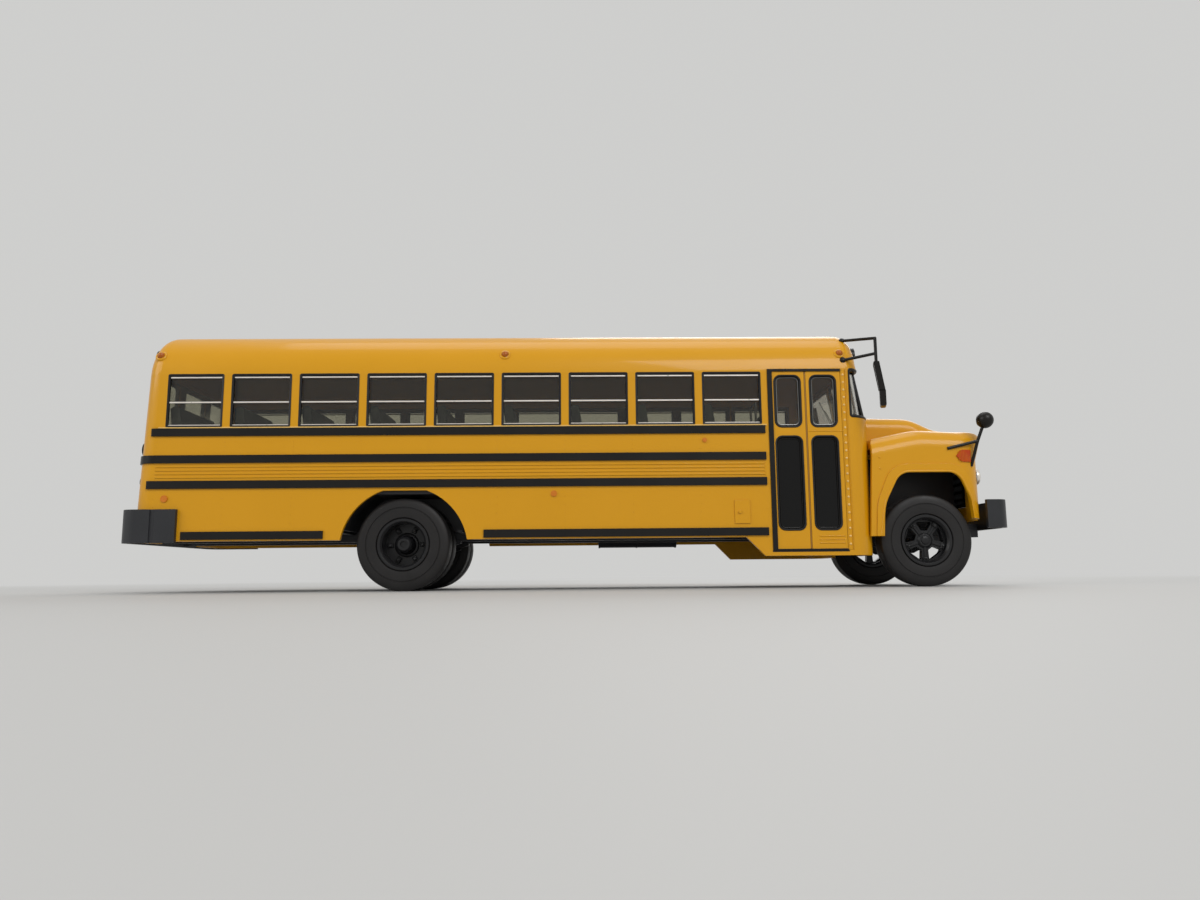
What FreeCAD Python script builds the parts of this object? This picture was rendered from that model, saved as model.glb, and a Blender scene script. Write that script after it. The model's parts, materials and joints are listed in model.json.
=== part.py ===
import FreeCAD, Part
import math
import os
import re
import Sketcher
from FreeCAD import Placement, Rotation, Vector

# School bus, a collector's model at 1:43, millimetres.
# Frame: +X forward, +Y to the driver's side, +Z up, origin on the ground under the middle of its length.

DOC = FreeCAD.newDocument("SchoolBus")
SHEET = DOC.addObject("Spreadsheet::Sheet", "Sizes")

SIZES = {
    # Axles and tyres
    "wheelbase": 140.0,
    "rear_axle_x": -44.5,
    "axle_radius": 1.0,
    "axle_play": 0.08,
    "front_track": 45.4,
    "rear_track": 45.8,
    "dual_spacing": 7.4,
    "tyre_radius": 12.3,
    "tyre_width": 6.3,
    "sidewall": 3.3,
    "tread_round": 0.9,
    "tread_taper": 0.2,
    "bead_inset": 0.55,
    "bead_gap": 0.02,
    # Wheels
    "rim_radius": 6.25,
    "rim_flange": 0.55,
    "flange_width": 0.5,
    "rim_width": 6.0,
    "rim_wall": 0.6,
    "rim_taper": 0.1,
    "hub_radius": 2.1,
    "hub_length": 1.6,
    "hub_back": 1.6,
    "hub_cap": 1.1,
    "hub_chamfer": 0.35,
    "disc_y": -0.6,
    "disc": 1.7,
    "disc_cone": 0.1,
    "hole_inner_ring": 2.6,
    "hole_inner_half": 0.85,
    "hole_outer_ring": 5.0,
    "hole_outer_half": 2.3,
    "hole_round": 0.4,
    "spoke_count": 5,
    "twin_disc": 1.8,
    "twin_hub_radius": 3.4,
    "twin_cap_radius": 1.55,
    "twin_cap_y": 2.0,
    "twin_cap_dip": 0.6,
    # Body
    "body_width": 56.6,
    "wall": 1.2,
    "crown_z": 73.3,
    "crown_radius": 62.0,
    "shoulder_radius": 13.0,
    "end_radius": 4.2,
    "cowl_radius": 6.5,
    "body_rear_x": -115.4,
    "rear_lean": 0.035,
    "body_front_x": 81.6,
    "cowl_z": 45.0,
    "brow_z": 60.0,
    "windshield_rake": 2.8,
    "skirt_z": 13.4,
    "step_skirt_z": 8.4,
    "ramp_x": 46.5,
    "ramp_length": 4.9,
    "rear_arch_x": -43.9,
    "rear_arch_radius": 16.9,
    "rear_arch_z": 10.5,
    "rear_arch_top_z": 26.4,
    "flute_pitch": 0.95,
    "flute_height": 0.4,
    "flute_proud": 0.15,
    "flute_end": 2.0,
    "flute_count": 4,
    # Windows
    "window_count": 9,
    "window_pitch": 18.04,
    "window_width": 15.7,
    "window_last_x": 35.8,
    "first_window_width": 14.6,
    "driver_window_width": 17.7,
    "window_sill_z": 43.7,
    "window_top_z": 58.0,
    "window_radius": 1.0,
    "screen_post": 1.4,
    "screen_width": 41.2,
    "screen_edge": 1.2,
    "corner_pane_x": 75.8,
    "corner_pane_y": 21.8,
    "corner_sill_z": 45.7,
    "rear_light_inner_y": 10.3,
    "rear_light_outer_y": 22.5,
    "glass": 0.6,
    "glass_margin": 0.8,
    "pane_recess": 0.35,
    "fit_gap": 0.1,
    # Doors
    "door_rear_x": 53.9,
    "door_width": 19.5,
    "door_bottom_z": 9.8,
    "door_top_z": 58.8,
    "door_stile": 1.6,
    "door_seam": 3.0,
    "door_groove": 0.5,
    "door_light_split_z": 41.6,
    "door_light_rail": 3.0,
    "door_light_bottom_z": 15.4,
    "door_light_top_z": 56.8,
    "door_light_radius": 1.5,
    "seal_width": 1.3,
    "seal_proud": 0.3,
    "seal_overlap": 0.5,
    "header_height": 0.7,
    "sill_line": 0.4,
    "rear_door_width": 17.0,
    "rear_door_bottom_z": 24.0,
    "rear_door_top_z": 60.5,
    "rear_door_frame": 2.0,
    "rear_door_low_light": 4.0,
    # Rails and trim
    "rail_height": 2.1,
    "rail_proud": 0.45,
    "window_rail_z": 41.2,
    "belt_rail_z": 34.0,
    "floor_rail_z": 27.2,
    "skirt_rail_z": 13.8,
    "window_rail_rear_x": -111.0,
    "floor_rail_rear_x": -111.5,
    "rail_front_x": 52.4,
    "skirt_rail_gap": 4.1,
    "fuel_x": 43.5,
    "fuel_width": 4.1,
    "fuel_z": 17.0,
    "fuel_height": 6.2,
    "fuel_proud": 0.25,
    "fuel_knob_radius": 0.45,
    # Hood and fenders
    "fender_width": 55.2,
    "fender_rear_x": 79.9,
    "fender_front_x": 111.5,
    "fender_rear_z": 40.0,
    "fender_radius": 5.0,
    "fender_corner": 2.5,
    "fender_crown_x": 94.0,
    "fender_crown_z": 42.5,
    "fender_crown_bend": 20.0,
    "fender_brow": 2.1,
    "fender_brow_z": 41.6,
    "fender_brow_radius": 1.8,
    "fender_brow_foot_z": 34.0,
    "fender_front_radius": 6.5,
    "hood_width": 37.0,
    "hood_rear_z": 47.4,
    "hood_bend_x": 96.0,
    "hood_bend_z": 47.0,
    "hood_dip_x": 103.0,
    "hood_dip_z": 43.6,
    "hood_bend": 12.0,
    "hood_front_z": 42.4,
    "hood_radius": 3.5,
    "nose_x": 114.2,
    "nose_radius": 4.5,
    "nose_bottom_z": 18.0,
    "arch_foot_rear": 13.0,
    "arch_knee_rear": 11.5,
    "arch_knee_z": 22.5,
    "arch_top_rear": 7.2,
    "arch_top_z": 30.7,
    "arch_top_front": 8.8,
    "arch_knee_front": 11.8,
    "arch_front_z": 24.0,
    "arch_foot_front": 13.8,
    "arch_round": 4.5,
    "arch_rear_bend": 12.0,
    "arch_front_bend": 9.0,
    "arch_lip": 2.0,
    "arch_lip_proud": 0.35,
    "chin_x": 106.9,
    "grille_width": 25.0,
    "grille_bottom_z": 22.0,
    "grille_top_z": 37.6,
    "grille_bars": 6,
    "grille_bar": 0.9,
    "grille_recess": 0.5,
    "grille_depth": 1.5,
    "headlamp_y": 22.2,
    "headlamp_z": 29.6,
    "headlamp_radius": 2.3,
    "headlamp_depth": 2.2,
    "headlamp_proud": 0.4,
    "signal_x": 104.0,
    "signal_length": 4.2,
    "signal_z": 33.2,
    "signal_height": 3.2,
    "signal_round": 0.8,
    # Bumpers
    "bumper_wall": 1.2,
    "bumper_radius": 4.0,
    "front_bumper_x": 118.0,
    "front_bumper_return": 6.5,
    "front_bumper_width": 55.4,
    "front_bumper_bottom_z": 15.5,
    "front_bumper_height": 7.5,
    "rear_bumper_x": -118.0,
    "rear_bumper_return": 15.0,
    "rear_bumper_width": 59.0,
    "rear_bumper_bottom_z": 13.1,
    "rear_bumper_height": 8.7,
    "crease_setback": 8.3,
    "crease_width": 1.2,
    "crease_depth": 0.3,
    # Base plate
    "plate_top_z": 17.4,
    "plate": 1.2,
    "plate_nose_width": 23.0,
    "plate_gap": 0.6,
    "rail_spacing": 17.0,
    "frame_rail_width": 1.8,
    "frame_rail_height": 3.8,
    "spring_length": 26.0,
    "spring_width": 2.0,
    "spring_end": 1.1,
    "spring_pad": 4.8,
    "spring_under": 1.2,
    "diff_radius": 3.4,
    "diff_width": 5.0,
    "shaft_radius": 1.1,
    "shaft_gap": 30.0,
    "well_inner_y": 11.6,
    "liner": 0.9,
    "liner_gap": 0.3,
    "screw_spacing": 155.0,
    "screw_x": -85.0,
    "screw_radius": 1.25,
    "screw_depth": 6.0,
    "screw_wall": 1.3,
    "engine_length": 19.0,
    "engine_width": 17.0,
    "engine_height": 17.0,
    "apron_top_z": 36.0,
    "radiator_width": 21.0,
    "radiator_depth": 2.0,
    "exhaust_radius": 0.75,
    "exhaust_y": 10.6,
    "exhaust_z": 14.45,
    "exhaust_length": 176.0,
    "muffler_x": 8.0,
    "muffler_length": 24.0,
    "muffler_radius": 2.0,
    "muffler_shift": 1.7,
    # Inside
    "floor_z": 27.4,
    "floor": 1.0,
    "step_well_y": 15.8,
    "step_margin": 0.6,
    "step_run": 3.8,
    "step_thickness": 1.0,
    "step_lowest": 1.4,
    "bench_width": 22.0,
    "bench_top_z": 49.5,
    "bench_seat_z": 36.6,
    "bench_depth": 9.4,
    "bench_back": 3.0,
    "bench_top": 2.4,
    "bench_foot": 4.0,
    "bench_round": 0.9,
    "bench_lean": 1.4,
    "bench_offset": 1.6,
    "cushion": 3.2,
    "driver_seat_back": 14.0,
    "driver_seat_y": 13.5,
    "driver_seat_width": 11.0,
    "driver_seat_rise": 3.0,
    "dash_depth": 5.2,
    "dash_bulge": 1.0,
    "dash_brow": 5.0,
    "dash_edge": 1.5,
    "dash_width": 40.0,
    "wheel_ring_radius": 4.6,
    "wheel_ring": 0.4,
    "wheel_spoke": 0.3,
    "wheel_hub": 1.0,
    "column_length": 9.0,
    "column_radius": 0.6,
    "wheel_setback": 9.4,
    # Lamps
    "warning_radius": 2.1,
    "warning_z": 64.6,
    "warning_inner_y": 12.0,
    "warning_outer_y": 18.0,
    "warning_proud": 0.8,
    "visor": 0.5,
    "visor_length": 1.5,
    "marker_radius": 1.0,
    "marker_z": 63.4,
    "marker_middle_x": -17.7,
    "marker_setback": 5.0,
    "tail_y": 22.2,
    "tail_z": 38.4,
    "tail_radius": 2.0,
    "tail_low_z": 29.6,
    "tail_low_radius": 1.4,
    "tail_proud": 0.8,
    "side_marker_proud": 0.3,
    "stop_x": 44.0,
    "stop_z": 38.6,
    "stop_radius": 5.4,
    "stop_plate": 0.6,
    "stop_hinge": 1.8,
    # Mirrors
    "wire_radius": 0.42,
    "mirror_x": 82.0,
    "mirror_y": 32.6,
    "mirror_foot_x": 75.9,
    "mirror_foot_z": 68.1,
    "mirror_low_foot_x": 74.5,
    "mirror_low_foot_z": 61.4,
    "mirror_arm_z": 66.2,
    "mirror_knot_z": 62.0,
    "mirror_head_top_z": 59.4,
    "mirror_head_height": 7.8,
    "mirror_small_height": 4.3,
    "mirror_lean": 1.2,
    "mirror_depth": 1.4,
    "mirror_small_depth": 1.6,
    "mirror_round": 0.5,
    "mirror_head_width": 4.0,
    "mirror_small_width": 3.2,
    "dome_radius": 2.25,
    "dome_x": 111.9,
    "dome_y": 29.0,
    "dome_z": 44.3,
    "dome_knot_x": 109.9,
    "dome_knot_y": 28.2,
    "dome_knot_z": 38.7,
    "dome_foot_x": 108.5,
    "dome_foot_y": 26.5,
    "dome_foot_z": 32.1,
    "strut_foot_x": 101.8,
    "strut_foot_y": 27.7,
    "strut_foot_z": 36.8,
}

for row, (alias, size) in enumerate(SIZES.items(), 1):
    SHEET.set("A%d" % row, alias)
    SHEET.set("B%d" % row, str(size))
    SHEET.setAlias("B%d" % row, alias)
DOC.recompute()

# Places worked out from the driving sizes
FRONT_AXLE = "(rear_axle_x + wheelbase)"
PLATE_BOTTOM = "(plate_top_z - plate)"
RAIL_BOTTOM = "(plate_top_z - frame_rail_height)"
DOOR_FRONT = "(door_rear_x + door_width)"
BROW_X = "(body_front_x - windshield_rake)"
FACE_Y = "(body_width / 2)"
INSIDE_Y = "(body_width / 2 - wall - fit_gap)"
NOSE_END = "(fender_front_x - wall - plate_gap)"
FENDER_LEAN = "((body_front_x - fit_gap - fender_rear_x) / (fender_rear_z - skirt_z))"
MIRROR_TURN = 17
STEERING_TILT = 40
SIDE_MARKERS = [
    ("-106.7", "24.6", "0.9"),
    ("-4.4", "25.3", "0.8"),
    ("36", "39.4", "0.6"),
]

# Cutting tools reach this far past what they cut
PAST = "5"
ACROSS = ("-body_width", "body_width")
RIGHT = ("-body_width", "-body_width / 4")
LEFT = ("body_width / 4", "body_width")
FRONT_END = ("body_front_x - cowl_radius", "body_front_x + " + PAST)
REAR_END = ("body_rear_x - " + PAST, "body_rear_x + cowl_radius")

WORD = re.compile(r"[a-z][a-z_]*")
NODES = {}


def linked(text):
    """The same sum with each size read from the sheet."""
    return WORD.sub(lambda m: "Sizes." + m.group() if m.group() in SIZES else m.group(), text)


def num(text):
    """The present value of a sum of sizes."""
    return float(SHEET.evalExpression(str(text)))


def bind(item, **sums):
    for prop, text in sums.items():
        item.setExpression(prop, linked(str(text)))
    return item


def place(item, x="0", y="0", z="0", rotation=None):
    """Put an object at sums of sizes, turned first."""
    if rotation:
        item.Placement = Placement(Vector(), rotation)
    for axis, text in zip("xyz", (x, y, z)):
        item.setExpression("Placement.Base." + axis, linked(str(text)))
    return item


def node(name, item):
    """Keep an object as a sub-part of its own."""
    item.Label = name
    NODES[name] = item
    return item


def block(name, x, y, z):
    """A box between pairs of sums."""
    item = DOC.addObject("Part::Box", name)
    bind(item, Length="(%s) - (%s)" % (x[1], x[0]), Width="(%s) - (%s)" % (y[1], y[0]),
         Height="(%s) - (%s)" % (z[1], z[0]))
    return place(item, x[0], y[0], z[0])


TURNS = {
    "x": Rotation(Vector(0, 1, 0), 90),
    "y": Rotation(Vector(1, 0, 0), -90),
    "z": Rotation(),
}


def rod(name, axis, radius, length, x, y, z):
    """A cylinder that starts at x, y, z and runs along an axis."""
    item = DOC.addObject("Part::Cylinder", name)
    bind(item, Radius=radius, Height=length)
    return place(item, x, y, z, TURNS[axis])


def join(name, *items):
    item = DOC.addObject("Part::MultiFuse", name)
    item.Shapes = list(items)
    item.Refine = True
    return item


def group(name, *items):
    item = DOC.addObject("Part::Compound", name)
    item.Links = list(items)
    return item


def cut(name, base, *tools):
    item = DOC.addObject("Part::Cut", name)
    item.Base = base
    item.Tool = tools[0] if len(tools) == 1 else group(name + "_tools", *tools)
    item.Refine = True
    return item


def overlap(name, base, tool):
    item = DOC.addObject("Part::Common", name)
    item.Base = base
    item.Tool = tool
    item.Refine = True
    return item


def mirrored(name, source):
    """The same piece on the other side of the bus."""
    item = DOC.addObject("Part::Mirroring", name)
    item.Source = source
    item.Normal = Vector(0, 1, 0)
    return item


def rounded(name, base, radius, wanted):
    """Round the edges of a piece that a test picks."""
    DOC.recompute()
    item = DOC.addObject("Part::Fillet", name)
    item.Base = base
    size = num(radius)
    item.Edges = [(number, size, size) for number, edge in enumerate(base.Shape.Edges, 1) if wanted(edge)]
    return item


def runs_along(edge, axis):
    """Whether a straight edge runs along an axis."""
    if not isinstance(edge.Curve, Part.Line):
        return False
    return abs(edge.tangentAt(edge.FirstParameter).dot(axis)) > 0.999


X_AXIS = Vector(1, 0, 0)
Y_AXIS = Vector(0, 1, 0)
Z_AXIS = Vector(0, 0, 1)


def pillow(name, x, y, z, radius, axis):
    """A box with its four edges along one axis rounded."""
    return rounded(name, block(name + "_block", x, y, z), radius, lambda edge: runs_along(edge, axis))


PLANES = {
    "XY": Rotation(),
    "XZ": Rotation(Vector(1, 0, 0), 90),
    "YZ": Rotation(Vector(1, 1, 1), 120),
}


def corner_arc(before, corner, after, radius):
    """Where a round corner starts, ends and has its centre."""
    back = (before - corner).normalize()
    ahead = (after - corner).normalize()
    half = back.getAngle(ahead) / 2
    reach = radius / math.tan(half)
    centre = corner + (back + ahead).normalize() * (radius / math.sin(half))
    return corner + back * reach, corner + ahead * reach, centre


def draw(sketch, points):
    """Draw a closed outline: each point is two sums, and a radius where its corner is round."""
    spots = [Vector(num(p[0]), num(p[1]), 0) for p in points]
    count = len(points)
    starts = list(spots)
    ends = list(spots)
    arcs = {}
    for i, point in enumerate(points):
        if len(point) == 3:
            first, last, centre = corner_arc(spots[i - 1], spots[i], spots[(i + 1) % count], num(point[2]))
            ends[i] = first
            starts[i] = last
            circle = Part.Circle(centre, Vector(0, 0, 1), num(point[2]))
            a, b = circle.parameter(first), circle.parameter(last)
            left_turn = (first - centre).cross(last - centre).z > 0
            arc = Part.ArcOfCircle(circle, a, b) if left_turn else Part.ArcOfCircle(circle, b, a)
            arcs[i] = (arc, left_turn)
    lines = [sketch.addGeometry(Part.LineSegment(starts[i], ends[(i + 1) % count])) for i in range(count)]
    for i, point in enumerate(points):
        before, after = lines[i - 1], lines[i]
        if i not in arcs:
            sketch.addConstraint(Sketcher.Constraint("Coincident", before, 2, after, 1))
            pin(sketch, after, 1, point)
            continue
        arc, left_turn = arcs[i]
        number = sketch.addGeometry(arc)
        head, tail = (1, 2) if left_turn else (2, 1)
        sketch.addConstraint(Sketcher.Constraint("Tangent", before, 2, number, head))
        sketch.addConstraint(Sketcher.Constraint("Tangent", number, tail, after, 1))
        radius = sketch.addConstraint(Sketcher.Constraint("Radius", number, num(point[2])))
        sketch.setExpression("Constraints[%d]" % radius, linked(str(point[2])))
        apex = sketch.addGeometry(Part.Point(spots[i]), True)
        sketch.addConstraint(Sketcher.Constraint("PointOnObject", apex, 1, before))
        sketch.addConstraint(Sketcher.Constraint("PointOnObject", apex, 1, after))
        pin(sketch, apex, 1, point)


def pin(sketch, geometry, vertex, point):
    """Hold a point of a sketch at two sums of sizes."""
    for kind, text in zip(("DistanceX", "DistanceY"), point):
        number = sketch.addConstraint(Sketcher.Constraint(kind, -1, 1, geometry, vertex, num(text)))
        sketch.setExpression("Constraints[%d]" % number, linked(str(text)))


def slab(name, plane, points, start, end):
    """An outline pushed out between two places along the plane's normal."""
    sketch = DOC.addObject("Sketcher::SketchObject", name + "_outline")
    draw(sketch, points)
    base = {"XY": ("0", "0", start), "XZ": ("0", start, "0"), "YZ": (start, "0", "0")}[plane]
    place(sketch, *base, rotation=PLANES[plane])
    item = DOC.addObject("Part::Extrusion", name)
    item.Base = sketch
    item.DirMode = "Custom"
    item.Dir = {"XY": Z_AXIS, "XZ": Y_AXIS, "YZ": X_AXIS}[plane]
    item.Solid = True
    return bind(item, LengthFwd="(%s) - (%s)" % (end, start))


def turned(name, points, x, y, z, outward=True):
    """A body of revolution about the cross axis: each point is a place along the axis and a radius."""
    body = DOC.addObject("PartDesign::Body", name)
    sketch = body.newObject("Sketcher::SketchObject", name + "_profile")
    plane = [f for f in body.Origin.OriginFeatures if f.Role == "YZ_Plane"][0]
    sketch.AttachmentSupport = [(plane, "")]
    sketch.MapMode = "FlatFace"
    draw(sketch, points)
    turn = body.newObject("PartDesign::Revolution", name + "_turn")
    turn.Profile = sketch
    turn.ReferenceAxis = (sketch, ["H_Axis"])
    turn.Angle = 360
    return place(body, x, y, z, None if outward else Rotation(Z_AXIS, 180))


def corner_radius(z, inset):
    """The radius of a front corner at a height: wide at the cowl, tighter from the brow up."""
    share = (z - num("cowl_z")) / num("brow_z - cowl_z")
    share = min(max(share, 0), 1)
    return num("cowl_radius") + share * num("end_radius - cowl_radius") - num(inset)


def end_edges(shape, inset):
    """The edges of both ends that aren't level, each with its two radii."""
    chosen = []
    rear_size = num("end_radius - %s" % inset)
    for number, edge in enumerate(shape.Edges, 1):
        spots = [v.Point for v in edge.Vertexes]
        middle = edge.valueAt((edge.FirstParameter + edge.LastParameter) / 2)
        heights = [p.z for p in spots + [middle]]
        if max(heights) - min(heights) < 1e-6:
            continue
        if min(p.x for p in spots) > num(BROW_X + " - cowl_radius"):
            first, last = [corner_radius(spot.z, inset) for spot in (spots[0], spots[-1])]
            chosen.append((number, first, last))
        elif max(p.x for p in spots) < num("body_rear_x + 2 * end_radius"):
            chosen.append((number, rear_size, rear_size))
    return chosen


def body_section(name, inset):
    """The body's cross-section: flat sides and floor, round shoulders and a wide crown, all tangent."""
    half = "(body_width / 2 - %s)" % inset
    crown = "(crown_radius - %s)" % inset
    shoulder = "(shoulder_radius - %s)" % inset
    section = DOC.addObject("Sketcher::SketchObject", name)
    w, big, small = num(half), num(crown), num(shoulder)
    top = num("crown_z - %s" % inset)
    low = -num(PAST)
    across = w - small
    rise = math.sqrt((big - small) ** 2 - across ** 2)
    spring = top - big + rise
    tilt = math.atan2(rise, across)
    meet = Vector(big * math.cos(tilt), top - big + big * math.sin(tilt), 0)
    middle = tilt / 2
    shoulder_mid = Vector(across + small * math.cos(middle), spring + small * math.sin(middle), 0)
    far_meet = Vector(-meet.x, meet.y, 0)
    far_mid = Vector(-shoulder_mid.x, shoulder_mid.y, 0)
    section.addGeometry([
        Part.LineSegment(Vector(-w, low, 0), Vector(w, low, 0)),
        Part.LineSegment(Vector(w, low, 0), Vector(w, spring, 0)),
        Part.Arc(Vector(w, spring, 0), shoulder_mid, meet),
        Part.Arc(meet, Vector(0, top, 0), far_meet),
        Part.Arc(far_meet, far_mid, Vector(-w, spring, 0)),
        Part.LineSegment(Vector(-w, spring, 0), Vector(-w, low, 0)),
    ])
    for ends in ((0, 2, 1, 1), (5, 2, 0, 1)):
        section.addConstraint(Sketcher.Constraint("Coincident", *ends))
    for ends in ((1, 2, 2, 1), (2, 2, 3, 1), (3, 2, 4, 1), (4, 2, 5, 1)):
        section.addConstraint(Sketcher.Constraint("Tangent", *ends))
    section.addConstraint(Sketcher.Constraint("PointOnObject", 3, 3, -2))
    section.addConstraint(Sketcher.Constraint("Vertical", 5))
    section.addConstraint(Sketcher.Constraint("Vertical", 1))
    pin(section, 0, 2, (half, str(low)))
    pin(section, 0, 1, ("-" + half, str(low)))
    for number, text in ((2, shoulder), (3, crown), (4, shoulder)):
        radius = section.addConstraint(Sketcher.Constraint("Radius", number, num(text)))
        section.setExpression("Constraints[%d]" % radius, linked(text))
    height = section.addConstraint(Sketcher.Constraint("DistanceY", -1, 1, 3, 3, top - big))
    section.setExpression("Constraints[%d]" % height, linked("crown_z - crown_radius"))
    return section


def body_form(name, inset, bottom):
    """The closed form of the body, set in by a distance, over an underside outline."""
    section = place(body_section(name + "_section", inset), REAR_END[0], rotation=PLANES["YZ"])
    tube = DOC.addObject("Part::Extrusion", name + "_tube")
    tube.Base = section
    tube.DirMode = "Custom"
    tube.Dir = X_AXIS
    tube.Solid = True
    bind(tube, LengthFwd="(%s) - (%s)" % (FRONT_END[1], REAR_END[0]))
    rear = "(body_rear_x + %s)" % inset
    front = "(body_front_x - %s)" % inset
    above = "(crown_z + %s)" % PAST
    outline = bottom(rear, front) + [
        (front, "cowl_z"),
        (front + " - windshield_rake", "brow_z"),
        (front + " - windshield_rake", above),
        (rear + " + rear_lean * (%s - skirt_z)" % above, above),
    ]
    form = overlap(name + "_form", tube, slab(name + "_side", "XZ", outline, *ACROSS))
    DOC.recompute()
    item = DOC.addObject("Part::Fillet", name)
    item.Base = form
    item.Edges = end_edges(form.Shape, inset)
    return item


def stepped_skirt(rear, front):
    """The underside of the outer form: low at the entrance, higher behind the ramp."""
    return [
        (rear, "skirt_z"),
        ("ramp_x", "skirt_z"),
        ("ramp_x + ramp_length", "step_skirt_z"),
        (front, "step_skirt_z"),
    ]


def open_skirt(rear, front):
    """The underside of an inner form, well below the skirt so that the body is open there."""
    low = "(%s - step_skirt_z)" % PAST
    return [(rear + " + rear_lean * (%s - skirt_z)" % low, low), (front, low)]


def on_face(sign, proud):
    """The span from a flat side of the body outwards, on the right (-) or the left."""
    if sign == "-":
        return ("-%s - %s" % (FACE_Y, proud), "-" + FACE_Y)
    return (FACE_Y, "%s + %s" % (FACE_Y, proud))


def grown(span, by):
    """A pair of sums moved apart by a distance at both ends, or together."""
    return ("%s - %s" % (span[0], by), "%s + %s" % (span[1], by))


def window_spans():
    """Both edges of every side window, from the front one backwards; the rearmost is narrower."""
    count = int(SIZES["window_count"])
    lefts = ["(window_last_x - %d * window_pitch)" % i for i in range(count - 1)]
    spans = [(left, left + " + window_width") for left in lefts]
    last_edge = lefts[-1] + " - (window_pitch - window_width)"
    spans.append((last_edge + " - first_window_width", last_edge))
    return spans


WINDOWS = window_spans()
DRIVER_LEFT = "(window_last_x + window_pitch)"
DRIVER_WINDOW = (DRIVER_LEFT, DRIVER_LEFT + " + driver_window_width")
WINDOW_HEIGHT = ("window_sill_z", "window_top_z")
GLASS_HEIGHT = grown(WINDOW_HEIGHT, "glass_margin")
SCREEN_HEIGHT = ("hood_rear_z + screen_edge / 2", "brow_z - screen_edge")
CORNER_HEIGHT = ("corner_sill_z", "brow_z - screen_edge")
REAR_LIGHTS = (("right", ("-rear_light_outer_y", "-rear_light_inner_y")),
               ("left", ("rear_light_inner_y", "rear_light_outer_y")))
DOORWAY = ("door_rear_x", DOOR_FRONT)
DOOR_HEIGHT = ("door_bottom_z", "door_top_z")
REAR_DOORWAY = ("-rear_door_width / 2", "rear_door_width / 2")
REAR_DOOR_HEIGHT = ("rear_door_bottom_z", "rear_door_top_z")
LEAF = "(door_width - 2 * door_stile - door_seam) / 2"
LIGHT_REAR = ("door_rear_x + door_stile", "door_rear_x + door_stile + " + LEAF)
LIGHT_FRONT = (DOOR_FRONT + " - door_stile - " + LEAF, DOOR_FRONT + " - door_stile")
LIGHT_LOW = ("door_light_bottom_z", "door_light_split_z - door_light_rail / 2")
LIGHT_HIGH = ("door_light_split_z + door_light_rail / 2", "door_light_top_z")
DOOR_LIGHTS = [(x, z) for x in (LIGHT_REAR, LIGHT_FRONT) for z in (LIGHT_LOW, LIGHT_HIGH)]


def build_body():
    outer = body_form("outer_form", "0", stepped_skirt)
    inner = body_form("inner_form", "wall", open_skirt)
    walls = cut("walls", outer, inner)
    shell = cut("cut_walls", walls, *(side_openings() + end_openings()))
    node("body_shell", join("body_shell", shell, *flutes()))
    build_entrance(walls)
    build_emergency_door(walls)
    return outer


def side_openings():
    """The windows along both sides, the driver's window, the doorway and the rear wheel arches."""
    openings = []
    for number, span in enumerate(WINDOWS):
        name = "window_%d" % number
        openings.append(pillow(name, span, ACROSS, WINDOW_HEIGHT, "window_radius", Y_AXIS))
    driver = pillow("driver_window", DRIVER_WINDOW, LEFT, WINDOW_HEIGHT, "window_radius", Y_AXIS)
    openings.append(driver)
    openings.append(block("doorway", DOORWAY, RIGHT, DOOR_HEIGHT))
    arch = rod("arch_round", "y", "rear_arch_radius", "2 * body_width",
               "rear_arch_x", ACROSS[0], "rear_arch_z")
    wide = grown(("rear_arch_x", "rear_arch_x"), "2 * rear_arch_radius")
    above = block("arch_above", wide, ACROSS, ("rear_arch_top_z", "crown_z"))
    openings.append(cut("rear_arch", arch, above))
    return openings


def end_openings():
    """The windshield with its corner lights, the rear doorway and lights, and notches for the frame."""
    openings = []
    half = "screen_width / 2"
    post = "screen_post / 2"
    corner = ("corner_pane_x", FRONT_END[1])
    for side, span, far in (("right", ("-" + half, "-" + post), ("-body_width", "-corner_pane_y")),
                            ("left", (post, half), ("corner_pane_y", "body_width"))):
        name = "screen_" + side
        openings.append(pillow(name, FRONT_END, span, SCREEN_HEIGHT, "window_radius", X_AXIS))
        openings.append(block("screen_corner_" + side, corner, far, CORNER_HEIGHT))
    openings.append(block("rear_doorway", REAR_END, REAR_DOORWAY, REAR_DOOR_HEIGHT))
    for side, span in REAR_LIGHTS:
        name = "rear_light_" + side
        openings.append(pillow(name, REAR_END, span, WINDOW_HEIGHT, "window_radius", X_AXIS))
    notch = grown(("-rail_spacing / 2", "rail_spacing / 2"), "2 * frame_rail_width")
    openings.append(block("rear_notch", REAR_END, notch, ("0", "plate_top_z + plate")))
    openings.append(block("front_notch", FRONT_END, notch, ("0", "floor_z + plate")))
    return openings


def flutes():
    """Thin pressed lines along the sides, midway between the belt rail and the floor rail."""
    count = int(SIZES["flute_count"])
    middle = "(floor_rail_z + rail_height + belt_rail_z) / 2"
    lines = []
    for sign in ("-", ""):
        for step in range(count):
            low = "%s + %.1f * flute_pitch - flute_height / 2" % (middle, step - (count - 1) / 2)
            span = ("floor_rail_rear_x + flute_end", "rail_front_x - flute_end / 4")
            lines.append(block("flute", span, on_face(sign, "flute_proud"), (low, low + " + flute_height")))
    return lines


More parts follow.
